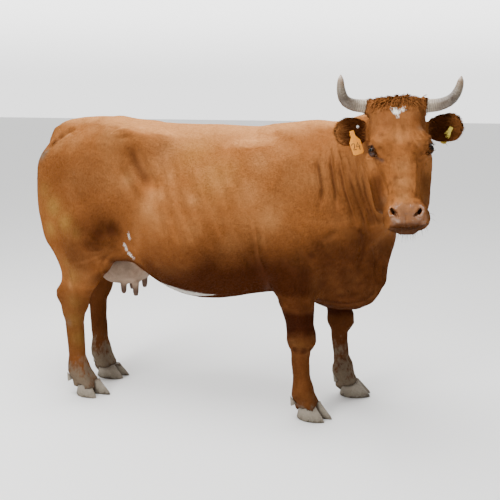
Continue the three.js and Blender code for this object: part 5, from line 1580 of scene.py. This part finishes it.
def hoofMaterial():
    material, tree, shader = newMaterial("hoofFinish")
    place = objectPlace(tree)
    height, ring, cleft = (readAttribute(tree, layer)["Fac"] for layer in ("height", "ring", "cleft"))
    shift = stretched(tree, noiseNode(tree, place, 30.0, 4.0), 0.5, 0.8)
    stops = (
        (0.0, (0.06, 0.046, 0.032)), (0.18, (0.18, 0.150, 0.112)), (0.55, (0.26, 0.222, 0.172)),
        (0.86, (0.20, 0.165, 0.125)), (1.0, (0.10, 0.068, 0.044)),
    )
    tone = colourRamp(tree, mathNode(tree, "ADD", height, shift), stops)
    crumbs = noiseNode(tree, place, 150.0, 4.0, 0.7)
    tone = mixColours(tree, stretched(tree, crumbs, 0.5, 3.2), tone, (0.31, 0.275, 0.222, 1))
    # painted shade in the gap between the two claws
    tone = mixColours(tree, cleft, tone, (0.06, 0.04, 0.025, 1))
    feed(tree, shader, {"Base Color": tone, "Roughness": 0.7, "Specular IOR Level": 0.25})
    bumped(tree, shader, mathNode(tree, "ADD", crumbs, ring), 0.4, 0.0010)
    return material


hoofFinish = hoofMaterial()
for name in [node for node in nodes if node.startswith(("claw_", "dewclaw_"))]:
    small = name.startswith("dew")
    thing = finePiece(name, name + "_fine", 0.0022 if small else hoof["voxel"], 5 if small else 7, 0.0008)
    points, normals = readPoints(thing), readNormals(thing)
    low, high = corners(name)
    rise = (points[:, 2] - low[2]) / (high[2] - low[2])
    forward = (points[:, 0] - low[0]) / (high[0] - low[0])
    level = points[:, 2] + 0.022 * forward
    ring = 0.5 + 0.5 * np.sin(level / hoof["ringStep"] * 2 * math.pi + 2.0 * mottled(points, 0.05, 81))
    upright = smoothStep(0.9, 0.5, np.abs(normals[:, 2]))
    points -= normals * (hoof["ringDepth"] * (1 - ring) * upright)[:, None]
    points += normals * (0.0016 * (mottled(points, 0.022, 83) - 0.5) * upright)[:, None]
    points[:, 2] = np.maximum(points[:, 2], low[2])
    writePoints(thing, points)
    addLayer(thing, "ring", ring)
    addLayer(thing, "height", np.clip(rise, 0, 1))
    pair = name[: name.rindex("_")]
    right, left = (np.array(boxMiddle(pair + side)) for side in ("_right", "_left"))
    middle, between = (right + left) / 2, unit(left - right)
    gapAway = np.abs((points - middle) @ between)
    # painted shade in the gap between the two claws
    addLayer(thing, "cleft", 0 * gapAway if small else 0.9 * smoothStep(0.010, 0.003, gapAway))
    finishPiece(thing, hoofFinish, "hoof", name)
print("claws shaped")

ball = {"radius": 0.0204, "segments": 64, "rings": 40, "bulge": 0.0010, "iris": 0.80, "pupil": (0.40, 0.20)}


def eyeMaterial():
    material, tree, shader = newMaterial("eyeFinish")
    iris, pupil, spoke = (readAttribute(tree, layer)["Fac"] for layer in ("iris", "pupil", "spoke"))
    vein = noiseNode(tree, objectPlace(tree), 260.0)
    white = mixColours(tree, vein, (0.085, 0.045, 0.032, 1), (0.040, 0.018, 0.012, 1))
    brown = mixColours(tree, spoke, (0.010, 0.004, 0.002, 1), (0.028, 0.011, 0.005, 1))
    tone = mixColours(tree, pupil, mixColours(tree, iris, white, brown), (0.0030, 0.0022, 0.0018, 1))
    feed(tree, shader, {"Base Color": tone, "Roughness": 0.3, "Specular IOR Level": 0.0})
    feed(tree, shader, {"Coat Weight": 0.35, "Coat Roughness": 0.02})
    return material


eyeFinish = eyeMaterial()
for side, word in ((-1, "right"), (1, "left")):
    centre, gaze, long, short = eyeAxes(side)
    at = Vector(onHead(*centre))
    bpy.ops.mesh.primitive_uv_sphere_add(segments=ball["segments"], ring_count=ball["rings"], radius=ball["radius"])
    thing = bpy.context.active_object
    thing.name = f"eye_{word}_fine"
    axes = np.stack([long, short, gaze]) @ headAxes
    local = readPoints(thing)
    way = unit(local)
    angle = np.arccos(np.clip(way[:, 2], -1, 1))
    local = way * (ball["radius"] + ball["bulge"] * smoothStep(0.62, 0.2, angle))[:, None]
    if np.linalg.det(axes) < 0:
        axes[1] *= -1
    writePoints(thing, np.array(at) + local @ axes)
    flat = np.hypot(way[:, 0] / ball["pupil"][0], way[:, 1] / ball["pupil"][1])
    turn = np.arctan2(way[:, 1], way[:, 0])
    addLayer(thing, "iris", smoothStep(ball["iris"] + 0.05, ball["iris"] - 0.04, angle))
    addLayer(thing, "pupil", smoothStep(1.08, 0.92, flat) * (way[:, 2] > 0))
    addLayer(thing, "spoke", (0.5 + 0.5 * np.sin(turn * 37 + 3 * np.sin(turn * 11))) * smoothStep(0.15, 0.5, angle))
    finishPiece(thing, eyeFinish, "eye", f"eye_{word}")
print("eyes set")

tag = {
    "strokes": [
        # paths in the camera's frame: a two and a four on the orange tag
        [
            (351.4, 145.6), (352.2, 143.9), (354.0, 143.8), (354.8, 145.4), (354.4, 147.6), (353.6, 150.0),
            (356.8, 149.4),
        ],
        [(357.6, 142.4), (356.4, 146.8), (360.2, 145.9)],
        [(358.6, 143.8), (360.2, 149.6)],
    ],
    "stroke": 0.0016,
    "ink": (0.05, 0.022, 0.010, 1),
    "orange": ((0.74, 0.275, 0.024, 1), (0.50, 0.165, 0.018, 1)),
    "yellow": ((0.62, 0.48, 0.060, 1), (0.36, 0.28, 0.040, 1)),
    "steel": (0.62, 0.62, 0.60, 1),
}


def tagMaterial(name, plain, worn):
    material, tree, shader = newMaterial(name)
    place = objectPlace(tree)
    tone = mixColours(tree, stretched(tree, noiseNode(tree, place, 45.0, 4.0, 0.7), 0.48, 2.4), plain, worn)
    feed(tree, shader, {"Base Color": tone, "Roughness": 0.45, "Specular IOR Level": 0.35})
    bumped(tree, shader, noiseNode(tree, place, 400.0, 2.0), 0.15, 0.0004)
    return material


def steelMaterial():
    material, tree, shader = newMaterial("studFinish")
    worn = mathNode(tree, "MULTIPLY", noiseNode(tree, objectPlace(tree), 300.0), 0.3)
    values = {"Base Color": tag["steel"], "Metallic": 0.85, "Roughness": mathNode(tree, "ADD", worn, 0.15)}
    feed(tree, shader, values)
    return material


def bevelledPiece(node, width, material, slot):
    thing = nodeCopy(node)
    thing.name = node + "_fine"
    applyModifier(thing, "BEVEL", width=width, segments=2, limit_method="ANGLE")
    selectOnly(thing)
    bpy.ops.object.shade_smooth_by_angle(angle=math.radians(40))
    clothe(thing, material, slot, node)
    return thing


def tubePiece(name, paths, radius, lift):
    # Rounded strokes of an even width, each a closed six-sided tube.
    parts, faces, start = [], [], 0
    for path in paths:
        path = np.array(path)
        tangent = unit(np.gradient(path, axis=0))
        across = unit(np.cross(tangent, lift))
        above = unit(np.cross(across, tangent))
        for ring in range(6):
            a = ring * math.pi / 3
            parts.append(path + radius * (math.cos(a) * across + 0.45 * math.sin(a) * above))
        n = len(path)
        for ring in range(6):
            for k in range(n - 1):
                a, b = start + ring * n + k, start + (ring + 1) % 6 * n + k
                faces += [(a, b, a + 1), (b, b + 1, a + 1)]
        for ring in range(1, 5):
            faces.append((start, start + (ring + 1) * n, start + ring * n))
            end = start + n - 1
            faces.append((end, end + ring * n, end + (ring + 1) * n))
        start += 6 * n
    return meshFromTriangles(name, np.concatenate(parts), np.array(faces))


inkFinish = plainMaterial("inkFinish", tag["ink"], Roughness=0.6)
orange = tagMaterial("tagOrangeFinish", *tag["orange"])
yellow = tagMaterial("tagYellowFinish", *tag["yellow"])
plate = bevelledPiece("ear_tag_right", 0.0006, orange, "tag_orange")
bevelledPiece("ear_tag_left", 0.0006, yellow, "tag_yellow")
bevelledPiece("ear_stud_right", 0.0005, steelMaterial(), "stud")
found = [[seenOn(plate, *p) for p in path] for path in tag["strokes"]]
strokes = [np.array(path) - lookAlong * 0.0002 for path in found if all(p is not None for p in path)]
if strokes:
    clothe(tubePiece("ear_tag_number", strokes, tag["stroke"], -lookAlong), inkFinish, "tag_orange")
print("tags and stud finished:", len(strokes), "strokes")
